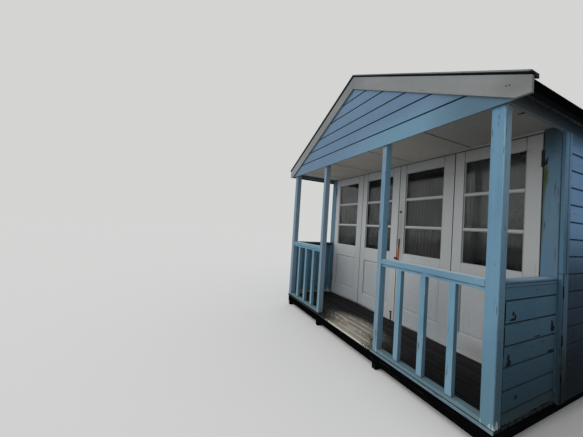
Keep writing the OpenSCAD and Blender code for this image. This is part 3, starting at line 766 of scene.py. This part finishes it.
pitch = (high.y - low.y + DECK_GAP) / DECK_BOARDS
for i in range(DECK_BOARDS):
    y, drop = low.y + i * pitch, chance.uniform(0.0, 0.003)
    ends = [(low.x, high.x, y)]
    if i == 0:
        # The first board is narrower under the right rail, where the painted edge is nailed to it
        ends, drop = [(low.x, EDGE_START - 0.002, y), (EDGE_START - 0.002, high.x, y + EDGE_T)], 0.0
    for x0, x1, y0 in ends:
        block((x0, y0, low.z), (x1, y + pitch - DECK_GAP, high.z - drop), "x", 0.005, joint=deck_gap)
finish("deck_boards", "deck_timber", "veranda_deck")
block((EDGE_START, low.y, low.z + 0.001), (high.x, low.y + EDGE_T - 0.003, high.z - 0.001), "x", 0.0025, 0.004)
finish("painted_edge", "blue_low", "veranda_deck")

low, high = solid("room_floor")
pitch = (high.y - low.y) / FLOOR_BOARDS
for i in range(FLOOR_BOARDS):
    y = low.y + i * pitch
    block((low.x, y, low.z), (high.x, y + pitch - 0.0015, high.z), "x", 0.001, 0.006,
          lambda co: co.y < low.y + 0.003)
finish("floor_boards", "sawn_timber", "room_floor")

# %% [markdown]
# ## Posts, rails and balusters
# The four posts are planed square timber with eased arrises. The handrail is more than a plain stick:
# its top slopes to the front so that rain runs off, and a bead is set back under it, which draws the
# dark line below the rail; the top of the bead is also darkened as painted shade. That outline is
# drawn once and run along each bay, and stops just short of the posts, where paint never closes the
# joint.

# %% Posts
for node in POSTS:
    block(*solid(node), "z", 0.0035, 0.009)
    paint = "blue_front" if node == "post_right_corner" else "blue_post"
    finish(node.replace("post", "square_post"), paint, node)

# %% Handrails and bottom rails
BEAD_IN, BEAD_H, RAIL_FALL, END_GAP = 0.012, 0.025, 0.005, 0.0015
bays = [(solid("post_right_inner")[1].x, solid("post_right_corner")[0].x),
        (solid("post_left_corner")[1].x, solid("post_left_inner")[0].x)]
rails = [(x0 + END_GAP, x1 - END_GAP) for x0, x1 in bays]
low, high = solid("handrails")
under, bead_front, bead_back = low.z + BEAD_H, low.y + BEAD_IN, high.y - BEAD_IN
for x0, x1 in rails:
    run([(low.y, under), (low.y, high.z - RAIL_FALL), (high.y, high.z), (high.y, under)], "x", x0, x1, 0.003)
    # The top of the bead, under the rail, is darkened as painted shade
    run([(bead_front, low.z), (bead_front, under - 0.008), (bead_front, under), (bead_back, under),
         (bead_back, under - 0.008), (bead_back, low.z)], "x", x0, x1, 0.0, 0.006,
        joint=lambda co: co.z > under - 0.004)
finish("hand_rails", "blue_rail", "handrails")

low, high = solid("bottom_rails")
groove = low.y + 0.013


def rail_joint(co):
    in_groove = abs(co.y - groove - 0.0015) < 0.003 and co.z > low.z + 0.015
    return in_groove or co.z < low.z + 0.001


for x0, x1 in rails:
    run([(low.y, low.z), (low.y, low.z + 0.003), (low.y, high.z - 0.006), (groove - 0.003, high.z - 0.003),
         (groove, high.z - 0.010), (groove + 0.003, high.z - 0.010), (groove + 0.006, high.z - 0.001),
         (high.y, high.z), (high.y, low.z)], "x", x0, x1, 0.0, 0.006, pieces=2, joint=rail_joint)
finish("foot_rails", "blue_low", "bottom_rails")

# %% Balusters
BALUSTERS, BALUSTER_W = 3, 0.047
low, high = solid("balusters")
for x0, x1 in bays:
    gap = (x1 - x0 - BALUSTERS * BALUSTER_W) / (BALUSTERS + 1)
    for i in range(BALUSTERS):
        x = x0 + gap + i * (BALUSTER_W + gap)
        block((x, low.y, low.z), (x + BALUSTER_W, high.y, high.z), "z", 0.003, 0.007)
finish("square_balusters", "blue_rail", "balusters")

# %% [markdown]
# ## Shiplap boarding
# The walls are covered with shiplap: the face is flat, its top curves back, and the board above laps
# over it. That curve makes the dark line at each joint and the pale line under it. A texture could
# draw such lines, but they would slide and go flat from the side, so every board is cut from its
# outline.

# %% Outline of a board
COVE = [(0.0, 0.022), (0.001, 0.017), (0.0032, 0.012), (0.0062, 0.0085), (0.0092, 0.0055)]
SHIPLAP_T, TONGUE, REBATE, REBATE_H = 0.0195, 0.008, 0.0085, 0.0105


def shiplap(bottom, top, face, out, lapped=True):
    points = [(REBATE, bottom), (0.0015, bottom), (0.0, bottom + 0.002)]
    if lapped:
        points += [(depth, top - down) for depth, down in COVE]
        points += [(0.0098, top + TONGUE), (SHIPLAP_T, top + TONGUE)]
    else:
        points += [(0.0, top), (SHIPLAP_T, top)]
    points += [(SHIPLAP_T, bottom + REBATE_H), (REBATE, bottom + REBATE_H)]
    return [(face - out * depth, z) for depth, z in points]


def courses(first, last, lines):
    edges = [first] + [z for z in lines if first + 0.03 < z < last - 0.03] + [last]
    return list(zip(edges[:-1], edges[1:]))


def clad(axis, face, out, rows, start, end, top=None, **more):
    across = 1 if axis == "x" else 0
    top = top or rows[-1][1]

    def in_joint(co):
        depth = out * (face - co[across])
        return min(1.0, max(0.0, (depth - 0.002) / 0.004)) if depth < 0.015 else 0.0

    for z0, z1 in rows:
        run(shiplap(z0, z1, face, out, z1 < top), axis, start, end, 0.0, joint=in_joint, **more)


# Heights of the joints of the walls, the side panels and the gable
COURSE = 0.1312
WALL_JOINTS = [floor_z + 0.001 + COURSE * i for i in range(1, 16)]
PANEL_JOINTS = [floor_z + z for z in (0.085, 0.216, 0.359, 0.488, 0.625, 0.769)]
GABLE_JOINTS = [fascia_z + z for z in (0.158, 0.297, 0.430, 0.574, 0.705)]
wall_rows = courses(boards_z, fascia_z, WALL_JOINTS)
print("wall courses:", len(wall_rows))

# %% Side walls
STUD, STUDS, CORNER_W = 0.045, 6, 0.046
for end, side in (("right", 1), ("left", -1)):
    clad("y", side * wall_out, side, wall_rows, door_y + 0.1, back_y - CORNER_W)
    finish(f"boarding_{end}", "blue_side", f"wall_{end}")
    x0, x1 = span(side, wall_in, half_w)
    block((x0, lining_y, boards_z + 0.002), (x1, back_y, boards_z + 0.069), "y", 0.001)
    block((x0, lining_y, fascia_z - STUD), (x1, back_y, fascia_z), "y", 0.001)
    for i in range(STUDS):
        y = lining_y + i * (back_y - lining_y - STUD) / (STUDS - 1)
        block((x0, y, boards_z + 0.069), (x1, y + STUD, fascia_z - STUD), "z", 0.001)
    finish(f"studs_{end}", "sawn_timber", f"wall_{end}")

# %% Back wall
ROOF_CUTS = [((0, 0, frame_z(0)), Vector((fall, 0, 1))) for fall in (slope, -slope)]
gable_top = frame_z(0) - 0.01
clad("x", back_y + CLADDING, 1, wall_rows, CORNER_W - half_w, half_w - CORNER_W)
clad("x", back_y + CLADDING, 1, courses(fascia_z, gable_top, [fascia_z + COURSE * i for i in range(1, 8)]),
     -wall_out, wall_out, cuts=ROOF_CUTS)
finish("boarding_back", "blue_side", "back_wall")

frame_y = back_y - STUD
for z in (floor_z, fascia_z - STUD):
    block((-wall_in, frame_y, z), (wall_in, back_y, z + STUD), "x", 0.001)
for i in range(STUDS):
    x = -wall_in + i * (2 * wall_in - STUD) / (STUDS - 1)
    block((x, frame_y, floor_z + STUD), (x + STUD, back_y, fascia_z - STUD), "z", 0.001)
both_sides(layer(0, wall_in, -FRAME_DROP - 0.08, -FRAME_DROP), frame_y, back_y)
finish("studs_back", "sawn_timber", "back_wall")

# %% Corner boards
# In front each is two strips with a gap, and the lower half has been renewed with other widths
low, high = solid("corner_boards")
renewed_z, y = floor_z + 0.918, door_y + 0.001
for side in (1, -1):
    x0, x1 = span(side, half_w, high.x)
    for y0, y1 in ((y, y + CORNER_W), (y + 0.063, y + 0.099)):
        block((x0, y0, renewed_z + 0.0015), (x1, y1, fascia_z), "z", 0.003)
    for y0, y1 in ((y, y + 0.010), (y + 0.029, y + 0.099)):
        block((x0, y0, boards_z), (x1, y1, renewed_z - 0.0015), "z", 0.003)
    block((x0, back_y - CORNER_W, boards_z), (x1, high.y, fascia_z), "z", 0.003)
    x0, x1 = span(side, half_w - CORNER_W, half_w)
    block((x0, back_y, boards_z), (x1, high.y, fascia_z), "z", 0.003)
finish("corner_strips", "blue_strip", "corner_boards")

# %% [markdown]
# ## Half-height side panels
# Each panel is boarded on two studs and covered by a capping with a sloped edge. The foot of the
# right one has rotted: its lowest board ends in a ragged, chipped edge, and an old green board shows
# behind it. The ragged edge is made by cutting the board into short lengths and lifting the lowest
# points by a smooth random amount.

# %% Side panels
def rotten_foot(verts):
    for v in verts:
        if v.co.z < floor_z + 0.014:
            bite = noise.noise(Vector((v.co.y * 11, 3.1, 0))) + 0.7 * noise.noise(Vector((v.co.y * 53, 0, 2)))
            v.co.z += max(0.0, 0.006 + 0.024 * bite)


PANEL_STUD = 0.042
low, high = solid("side_panel_right")
panel_top, panel_face, stud_back = high.z, half_w - 0.002, half_w - 0.022
for end, side, paint in (("right", 1, "blue_panel"), ("left", -1, "blue_front")):
    node, rows = f"side_panel_{end}", courses(floor_z, panel_top, PANEL_JOINTS)
    if side == 1:
        clad("y", panel_face, 1, [rows.pop(0)], low.y, high.y, panel_top, pieces=110, shape=rotten_foot)
        finish("panel_foot_right", "blue_foot", node)
    clad("y", side * panel_face, side, rows, low.y, high.y, panel_top)
    finish(f"panel_{end}", paint, node)
    x0, x1 = span(side, stud_back - PANEL_STUD, stud_back)
    for y in (low.y, high.y - PANEL_STUD):
        block((x0, y, floor_z), (x1, y + PANEL_STUD, panel_top), "z")
    finish(f"panel_studs_{end}", "blue_front", node)
block((half_w - 0.044, low.y + 0.043, floor_z + 0.001), (half_w - 0.0225, high.y - 0.043, floor_z + 0.08),
      "y", 0.003)
finish("cleat_right", "tarred", "side_panel_right")

low, high = solid("side_cappings")
inside = half_w - 0.07
both_sides([(inside, low.z), (high.x - 0.004, low.z), (high.x - 0.004, low.z + 0.004),
            (high.x - 0.0015, low.z + 0.004), (high.x - 0.0015, low.z + 0.022), (high.x - 0.006, low.z + 0.023),
            (high.x - 0.006, low.z + 0.026), (high.x, low.z + 0.027), (high.x, high.z - 0.006),
            (high.x - 0.006, high.z), (inside, high.z)], low.y + 0.001, high.y, 0.0, 0.007, lean=False,
           joint=lambda co: abs(co.x) < high.x - 0.003 and co.z < high.z - 0.01)
finish("cappings", "blue_strip", "side_cappings")

# %% [markdown]
# ## Front gable, beams and friezes
# The gable boards hang a little below the ceiling, so they hide its edge. Behind them is a frame that
# stands on the posts, and along the sides run the beams that carry the roof, with a frieze outside.

# %% Front gable
low, high = solid("front_gable")
clad("x", front_y - CLADDING, -1, courses(fascia_z, gable_top, GABLE_JOINTS), low.x, high.x, cuts=ROOF_CUTS)
finish("gable_boards", "blue_gable", "front_gable")

block((-half_w, front_y, ceiling_top), (half_w, front_y + STUD, ceiling_top + 0.075), "x", 0.002, 0.01)
both_sides(layer(0, half_w, -FRAME_DROP - 0.085, -FRAME_DROP), front_y, front_y + STUD)
finish("gable_frame", "blue_front", "front_gable")

# %% Eave beams and frieze boards
for y0, y1, z in ((front_y + STUD, lining_y, ceiling_top), (lining_y, back_y, fascia_z)):
    both_sides(under_roof(wall_in, half_w, z), y0, y1, lean=False)
finish("wall_plates", "beam_blue", "eave_beams")

# The top of each frieze is darkened as painted shade under the eave
both_sides(under_roof(half_w, wall_out, fascia_z), front_y, back_y, 0.002, 0.006, lean=False,
           joint=lambda co: 0.8 * (co.z > frame_z(wall_out) - 0.004))
finish("friezes", "beam_blue", "frieze_boards")

# %% [markdown]
# ## The roof
# The barge boards are one board a side, with an upright joint at the top, a level cut at the foot and
# an upright end. A flat capping strip covers them and the edge of the felt. Behind them are the
# boards of the roof, laid along it, and the dark eave boards. Every one is an outline drawn in the
# upright plane and run along the hut, and the barge boards and strips have their grain turned to the
# slope.

# %% Barge boards and capping strips
BARGE_H, BARGE_T, STRIP_GAP, MITRE = 0.152, 0.022, 0.012, 0.0012
roof_half = half_w + 0.134
foot_x = roof_half - (BARGE_H - (roof_z(roof_half) - fascia_z)) / slope
barge = [(MITRE, roof_z(MITRE) - BARGE_H), (foot_x, fascia_z), (roof_half, fascia_z),
         (roof_half, roof_z(roof_half) - STRIP_GAP), (MITRE, roof_z(MITRE) - STRIP_GAP)]


# Painted shade on the underside and the ends of the capping strips
def strip_joint(co):
    return 0.9 * (abs(co.x) > roof_half + 0.001 or co.z < roof_z(co.x) + 0.0011)


for name, side in (("front", -1), ("back", 1)):
    both_sides(barge, *span(side, verge_y, verge_y + BARGE_T))
    finish(f"barges_{name}", "grey_barge", f"barge_boards_{name}")
    strip_in = verge_y - 0.05
    both_sides(layer(0.001, roof_half + 0.003, 0.0005, STRIP_T), *span(side, strip_in, verge_y + 0.036),
               0.0015, 0.0025, joint=strip_joint)
    # The layer under the strips is dark all over, so the gap over the barge boards shows painted shade
    both_sides(layer(0.001, roof_half + 0.003, boards_top + 0.0045, 0.0),
               *span(side, strip_in, verge_y - 0.001), 0.0, joint=lambda co: 1.0)
    finish(f"verge_strips_{name}", "verge_paint", f"barge_boards_{name}")

# %% Eave boards, roof boards, ridge and rafters
ROOF_BOARDS, RAFTERS, RAFTER_H, RIDGE_HALF = 14, 4, 0.08, 0.011
low, high = solid("eave_fascias")
fascia_x = high.x
both_sides(under_roof(fascia_x - 0.02, fascia_x, fascia_z), low.y, high.y, 0.002, 0.006, lean=False)
finish("eave_boards", "eave_paint", "eave_fascias")

wide = fascia_x / ROOF_BOARDS
for end, side in (("right", 1), ("left", -1)):
    # The last roof board at each eave is tarred and darkened all over, which also stands for painted shade
    # under the eave
    for name, paint, first, last, dark in (("sarking", "sawn_timber", 0, ROOF_BOARDS - 1, 0.0),
                                           ("eave_sarking", "tarred", ROOF_BOARDS - 1, ROOF_BOARDS, 1.0)):
        for i in range(first, last):
            board = layer(i * wide + 0.001 * (i > 0), (i + 1) * wide, -FRAME_DROP, boards_top)
            run(mirrored(board, side), "y", low.y, high.y, 0.001, joint=lambda co: dark)
        finish(f"{name}_{end}", paint, f"roof_boards_{end}")

low, high = solid("ridge_board")
start, end = lining_y + STUD, back_y - STUD
for y0, y1 in ((low.y, lining_y), (start, high.y)):
    run([(-RIDGE_HALF, low.z), (RIDGE_HALF, low.z), (RIDGE_HALF, frame_z(RIDGE_HALF)), (0, frame_z(0)),
         (-RIDGE_HALF, frame_z(RIDGE_HALF))], "y", y0, y1, 0.001, 0.006)
finish("ridge_beam", "sawn_timber", "ridge_board")

for i in range(1, RAFTERS + 1):
    y = start + i * (end - start) / (RAFTERS + 1)
    both_sides(layer(RIDGE_HALF, wall_in, -FRAME_DROP - RAFTER_H, -FRAME_DROP), y - STUD / 2, y + STUD / 2)
finish("rafter_pairs", "sawn_timber", "rafters")

# %% Gable over the doors
low, high = solid("room_gable")
run([(-wall_in, low.z), (wall_in, low.z), (wall_in, frame_z(wall_in)), (0, frame_z(0)),
     (-wall_in, frame_z(wall_in))], "y", low.y, high.y, 0.001, grain_axis="x")
finish("inner_gable", "sawn_timber", "room_gable")

# %% [markdown]
# ## Veranda ceiling and felt
# Five wide boards lie over the veranda from front to back, and are cut around the posts. A board with
# notches is one flat outline, drawn from above and raised to its thickness. The felt is one outline
# a side, with its laps, its ridge cap and the edge that is turned down over the eave board.

# %% Ceiling boards
CEILING_JOINTS = (-1.195, -0.515, 0.165, 0.845)
low, high = solid("veranda_ceiling")


def notched(x0, x1):
    points = []
    for node in reversed(POSTS):
        a, b = (corner.x for corner in solid(node))
        if b <= x0 or a >= x1:
            continue
        if a > x0:
            points += [(a, front_y)] if points else [(x0, front_y), (a, front_y)]
        points += [(max(a, x0), post_back), (min(b, x1), post_back)]
        if b < x1:
            points += [(b, front_y)]
    points = points or [(x0, front_y)]
    if points[-1][0] < x1:
        points += [(x1, front_y)]
    return points + [(x1, high.y), (x0, high.y)]


edges = [low.x, *CEILING_JOINTS, high.x]
for x0, x1 in zip(edges[:-1], edges[1:]):
    run(notched(x0 + 0.002, x1 - 0.002), "z", low.z, high.z, 0.001, 0.005, "y",
        joint=lambda co: min(co.x - x0, x1 - co.x) < 0.0035 or co.z > low.z + 0.006)
finish("ceiling_boards", "ceiling_paint", "veranda_ceiling")

# %% Roofing felt
LAP_X, CAP_X, SHEET_T = 0.78, 0.15, 0.0013


def over(x, sheets):
    return (x, roof_z(x) + boards_top + sheets * SHEET_T / math.cos(RAKE))


low, high = solid("roof_felt_right")
felt = [over(0, 0), over(fascia_x, 0), (fascia_x, low.z), (high.x, low.z), over(high.x, 1),
        over(fascia_x - 0.01, 1), over(LAP_X, 1), over(LAP_X, 2), over(CAP_X, 2), over(CAP_X, 3), over(0, 3)]
for end, side in (("right", 1), ("left", -1)):
    run(mirrored(felt, side), "y", low.y, high.y, 0.0, 0.01,
        joint=lambda co: abs(co.x) > fascia_x - 0.001)
    finish(f"felt_{end}", "roof_felt", f"roof_felt_{end}")

# %% [markdown]
# ## The doors
# Each leaf is joined as a joiner does it: two long stiles, three rails between them, two thin bars in
# the light and a raised panel below. The front edge of a leaf reaches over the next one, so the gap
# between them has a dark bottom. The frame stands proud of the panel and a small sloping moulding
# closes the step, so the panel shows a dark line at its top and a pale one at its foot; its top and
# side mouldings are also darkened a little as painted shade.

# %% Door frame, sill and boards beside it
JAMB_X, STOP_W, LEAF_T = 1.3835, 0.016, 0.04
stop_y = door_y + LEAF_T
low, high = solid("door_jambs")
for inner, y0, y1 in ((JAMB_X, lining_y, stop_y), (JAMB_X - STOP_W, stop_y, high.y)):
    for side in (1, -1):
        x0, x1 = span(side, inner, wall_in)
        block((x0, y0, floor_z), (x1, y1, high.z), "z", 0.002, 0.006)
finish("jambs", "white_door", "door_jambs")

low, high = solid("door_head")
block((low.x, lining_y, low.z), high, "x")
block((-JAMB_X, door_y, low.z), (JAMB_X, lining_y, ceiling_z), "x", 0.002, 0.004,
      lambda co: co.z < low.z + 0.0025)
finish("head", "white_door", "door_head")

low, high = solid("door_sill")
block((-JAMB_X, door_y, low.z), (JAMB_X, stop_y, high.z), "x", 0.002, 0.006)
block((STOP_W - JAMB_X, stop_y, low.z), (JAMB_X - STOP_W, high.y, high.z), "x", 0.002, 0.006)
finish("sill", "deck_timber", "door_sill")

for side in (1, -1):
    x0, x1 = span(side, JAMB_X, half_w)
    block((x0, door_y, floor_z), (x1, lining_y, ceiling_z), "z", 0.003,
          joint=lambda co: abs(co.x) < JAMB_X + 0.003)
finish("flat_boards", "blue_recess", "front_wall_boards")

# %% Leaf helpers
def frame_bead(x0, x1, z0, z1, y, width, depth, shade=0.0):
    for x, inward in ((x0, 1), (x1, -1)):
        cuts = [(Vector((x, 0, z)), Vector((inward, 0, up))) for z, up in ((z0, -1), (z1, 1))]
        run([(x, y), (x + inward * width, y + depth), (x, y + depth)], "z", z0, z1, 0.0, 0.02, cuts=cuts,
            joint=lambda co: shade)
    for z, inward in ((z0, 1), (z1, -1)):
        cuts = [(Vector((x, 0, z)), Vector((out, 0, inward))) for x, out in ((x0, -1), (x1, 1))]
        run([(y, z), (y + depth, z + inward * width), (y + depth, z)], "x", x0, x1, 0.0, 0.02, cuts=cuts,
            joint=lambda co: shade * (inward < 0))


def raised_panel(low, high, border, field_in, field_d):
    cube(low, high)
    verts = set(fresh_verts())
    faces = [f for f in bench.faces if f.verts[0] in verts and abs(f.normal.y) > 0.9]
    for width, depth in ((border, 0.0), (field_in - border, field_d)):
        bmesh.ops.inset_individual(bench, faces=faces, thickness=width, depth=depth, use_even_offset=True)
    settle("z", 0.0, 0.01)


# %% Door leaves
LEAVES, LIGHTS, BAR, LAP, GAP, HINGE_X = 4, 3, 0.018, 0.012, 0.003, 1.382
LIGHT_HALF = 0.2395
glass_low, glass_high = solid("door_glass")
leaf_low, leaf_high = solid("door_leaf_2")
leaf_w = 2 * HINGE_X / LEAVES
light_h = (glass_high.z - glass_low.z - (LIGHTS - 1) * BAR) / LIGHTS
panel_low, panel_high = leaf_low.z + 0.186, glass_low.z - 0.175
y0, y1, y2 = leaf_low.y, lining_y, leaf_high.y


def joint_x(n, lap=0.0):
    return (n - LEAVES / 2) * leaf_w + (lap if 0 < n < LEAVES else 0.0)


def leaf_x(n):
    return joint_x(n) - leaf_w / 2


def leaf_edges(n, lap):
    return joint_x(n - 1, lap) + GAP / 2, joint_x(n, lap) - GAP / 2


for n in range(1, LEAVES + 1):
    (front0, front1), (rear0, rear1) = leaf_edges(n, LAP), leaf_edges(n, 0.0)
    x0, x1 = leaf_x(n) - LIGHT_HALF, leaf_x(n) + LIGHT_HALF

    def leaf_gap(co):
        near = min(co.x - min(front0, rear0), max(front1, rear1) - co.x, leaf_high.z - co.z)
        return near < 0.0028 or (y0 + 0.004 < co.y and near < 0.013)

    for stile in ([(front0, y0), (x0, y0), (x0, y2), (rear0, y2), (rear0, y1), (front0, y1)],
                  [(x1, y0), (front1, y0), (front1, y1), (rear1, y1), (rear1, y2), (x1, y2)]):
        run(stile, "z", leaf_low.z, leaf_high.z, 0.001, 0.0045, joint=leaf_gap)
    for z0, z1 in ((leaf_low.z, panel_low), (panel_high, glass_low.z), (glass_high.z, leaf_high.z)):
        block((x0, y0 + 0.0002, z0), (x1, y2 - 0.0002, z1), "x", 0.0005, 0.006,
              lambda co: leaf_high.z - co.z < 0.0018)
    for i in range(LIGHTS - 1):
        z0 = glass_low.z + (i + 1) * light_h + i * BAR
        block((x0, y0 + 0.004, z0), (x1, y2 - 0.004, z0 + BAR), "x", 0.003, 0.006)
    for i in range(LIGHTS):
        z0 = glass_low.z + i * (light_h + BAR)
        frame_bead(x0, x1, z0, z0 + light_h, y0 + 0.007, width=0.008, depth=0.010)
    raised_panel((x0, y0 + 0.011, panel_low), (x1, y2 - 0.011, panel_high), border=0.012, field_in=0.034,
                 field_d=0.005)
    # The top and side mouldings of the panel carry painted shade
    frame_bead(x0, x1, panel_low, panel_high, y0 + 0.0015, width=0.010, depth=0.0095, shade=0.35)
    finish(f"leaf_{n}", "white_door", f"door_leaf_{n}")

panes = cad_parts["door_glass"]
panes.data.materials.clear()
panes.data.materials.append(finishes["old_glass"])

# %% [markdown]
# ## Curtains behind the glass
# The panes show a grey cloth in soft upright folds, hung close behind the glass. It is a thin sheet:
# a fine grid whose points are moved forward and back in waves that change a little down the cloth,
# with a small real thickness.

# %% Net curtains
FOLDS, FOLD_D, CURTAIN_W, CLOTH_T, STEPS = 13, 0.0024, 0.56, 0.0006, 600
low, high = solid("door_curtains")
height = high.z - low.z


def fold(u):
    return FOLD_D * math.sin(2 * math.pi * FOLDS * u)


for n in range(1, LEAVES + 1):
    middle = leaf_x(n)
    cloth = bmesh.new()
    uv = cloth.loops.layers.uv.new("UVMap")
    upright = Matrix.Rotation(math.pi / 2, 4, "X") @ Matrix.Diagonal((CURTAIN_W, height, 1, 1))
    place = Matrix.Translation((middle, (low.y + high.y) / 2, (low.z + high.z) / 2)) @ upright
    bmesh.ops.create_grid(cloth, x_segments=140, y_segments=24, size=0.5, matrix=place, calc_uvs=False)
    for face in cloth.faces:
        face.smooth = True
        for loop in face.loops:
            loop[uv].uv = (loop.vert.co.x - middle, loop.vert.co.z)
    for v in cloth.verts:
        u, down = (v.co.x - middle) / CURTAIN_W, (high.z - v.co.z) / height
        drift = noise.noise(Vector((u * 5, down * 1.3, n)))
        v.co.y += fold(u + 0.03 * math.sin(3 * down + n)) * (0.7 + 0.6 * down) + 0.0018 * drift
    mesh = bpy.data.meshes.new(f"curtain_{n}")
    cloth.to_mesh(mesh)
    cloth.free()
    mesh.materials.append(finishes["net_cloth"])
    curtain = into_scene(f"curtain_{n}", mesh)
    curtain.modifiers.new("cloth", "SOLIDIFY").thickness = CLOTH_T
    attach(curtain, "root")
    if n == 1:
        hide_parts("door_curtains")

# %% [markdown]
# ## Ironwork
# Every fitting is rusted black iron: hinges with a round knuckle, the strap and hasp on the meeting
# stiles, a lock knob above and a drop bolt at the foot. They are small, but they tell how old the hut
# is. A knuckle is a cylinder with its rims taken off, and a plate is a thin block.

# %% Hinges
def iron_block(low, high, soften=0.001):
    block(low, high, "z", soften, 0.02)


def iron_rod(start, end, radius, sides=20):
    start, end = Vector(start), Vector(end)
    turn = (end - start).to_track_quat("Z", "Y").to_matrix().to_4x4()
    bmesh.ops.create_cone(bench, cap_ends=True, segments=sides, radius1=radius, radius2=radius,
                          depth=(end - start).length, matrix=Matrix.Translation((start + end) / 2) @ turn)
    settle("z", 0.0008, 0.02)


HINGE_L, KNUCKLE_R, KNUCKLES = 0.14, 0.0059, 3
low, high = solid("door_hinges")
knuckle_l = HINGE_L / KNUCKLES
for side in (1, -1):
    for z0 in (low.z, high.z - HINGE_L):
        x, y = side * HINGE_X, door_y
        for k in range(KNUCKLES):
            z = z0 + k * HINGE_L / KNUCKLES
            iron_rod((x, y - 0.004, z + 0.0006), (x, y - 0.004, z + knuckle_l - 0.0006), KNUCKLE_R)
        iron_block((x - 0.012, y - 0.002, z0 + 0.004), (x + 0.009, y, z0 + HINGE_L - 0.004), 0.0006)
        x, y = side * leaf_w, stop_y
        iron_rod((x, y + 0.004, z0), (x, y + 0.004, z0 + HINGE_L), KNUCKLE_R)
        iron_block((x - 0.016, y, z0), (x + 0.016, y + 0.002, z0 + HINGE_L), 0.0006)
# A cabin hook on the flat board beside the top right hinge, which holds the folded doors open
hook = [Vector((x, door_y - out, z)) for x, out, z in ((1.392, 0.005, 1.916), (1.397, 0.010, 1.922),
                                                       (1.401, 0.010, 1.952), (1.413, 0.008, 1.970))]
for a, b in zip(hook[:-1], hook[1:]):
    iron_rod(a, b, 0.003, 12)
iron_block((1.396, door_y - 0.003, 1.926), (1.405, door_y, 1.944), 0.0008)
finish("hinges", "rust", "door_hinges")

# %% Lock, strap and bolt
STRAP_L = 0.27
strap_z, knob_z = floor_z + 0.797, floor_z + 1.408
strap_top = strap_z + STRAP_L
run([(0.026, strap_z), (0.0495, strap_z), (0.0535, strap_top - 0.006), (0.0495, strap_top), (0.039, strap_top),
     (0.034, strap_top - 0.006)], "y", door_y - 0.004, door_y, 0.001, 0.02)
finish("strap", "strap_rust", "door_lock")
iron_block((-0.024, door_y - 0.006, strap_z + 0.004), (0.0305, door_y - 0.001, strap_z + 0.030), 0.0012)
iron_rod((0.048, door_y, knob_z), (0.048, door_y - 0.0119, knob_z), 0.013)
iron_block((-0.042, door_y - 0.004, floor_z + 0.026), (-0.024, door_y, floor_z + 0.102))
iron_rod((-0.033, door_y - 0.007, floor_z), (-0.033, door_y - 0.007, floor_z + 0.13), 0.005)
iron_block((-0.046, door_y - 0.0139, floor_z + 0.114), (-0.02, door_y - 0.002, floor_z + 0.13), 0.002)
finish("hasp_knob_and_bolt", "rust", "door_lock")

# %% [markdown]
# ## The studio floor
# A wide pale disc under the hut catches its shadow and runs into the pale backdrop. For the camera it
# is nearly white, but it throws back less light than that, so the walls aren't washed out from below.

# %% Studio floor
disc = bmesh.new()
bmesh.ops.create_circle(disc, cap_ends=True, segments=96, radius=60.0)
mesh = bpy.data.meshes.new("studio_floor")
disc.to_mesh(mesh)
disc.free()
n, shader, _ = new_finish("studio_floor")
seen = n.put("LightPath", {}, "Is Camera Ray")
n.feed(shader, {"Base Color": n.mix(seen, (194, 194, 193), (245, 243, 241)), "Roughness": 0.9,
                "Specular IOR Level": 0.0})
mesh.materials.append(finishes["studio_floor"])
into_scene("studio_floor", mesh)
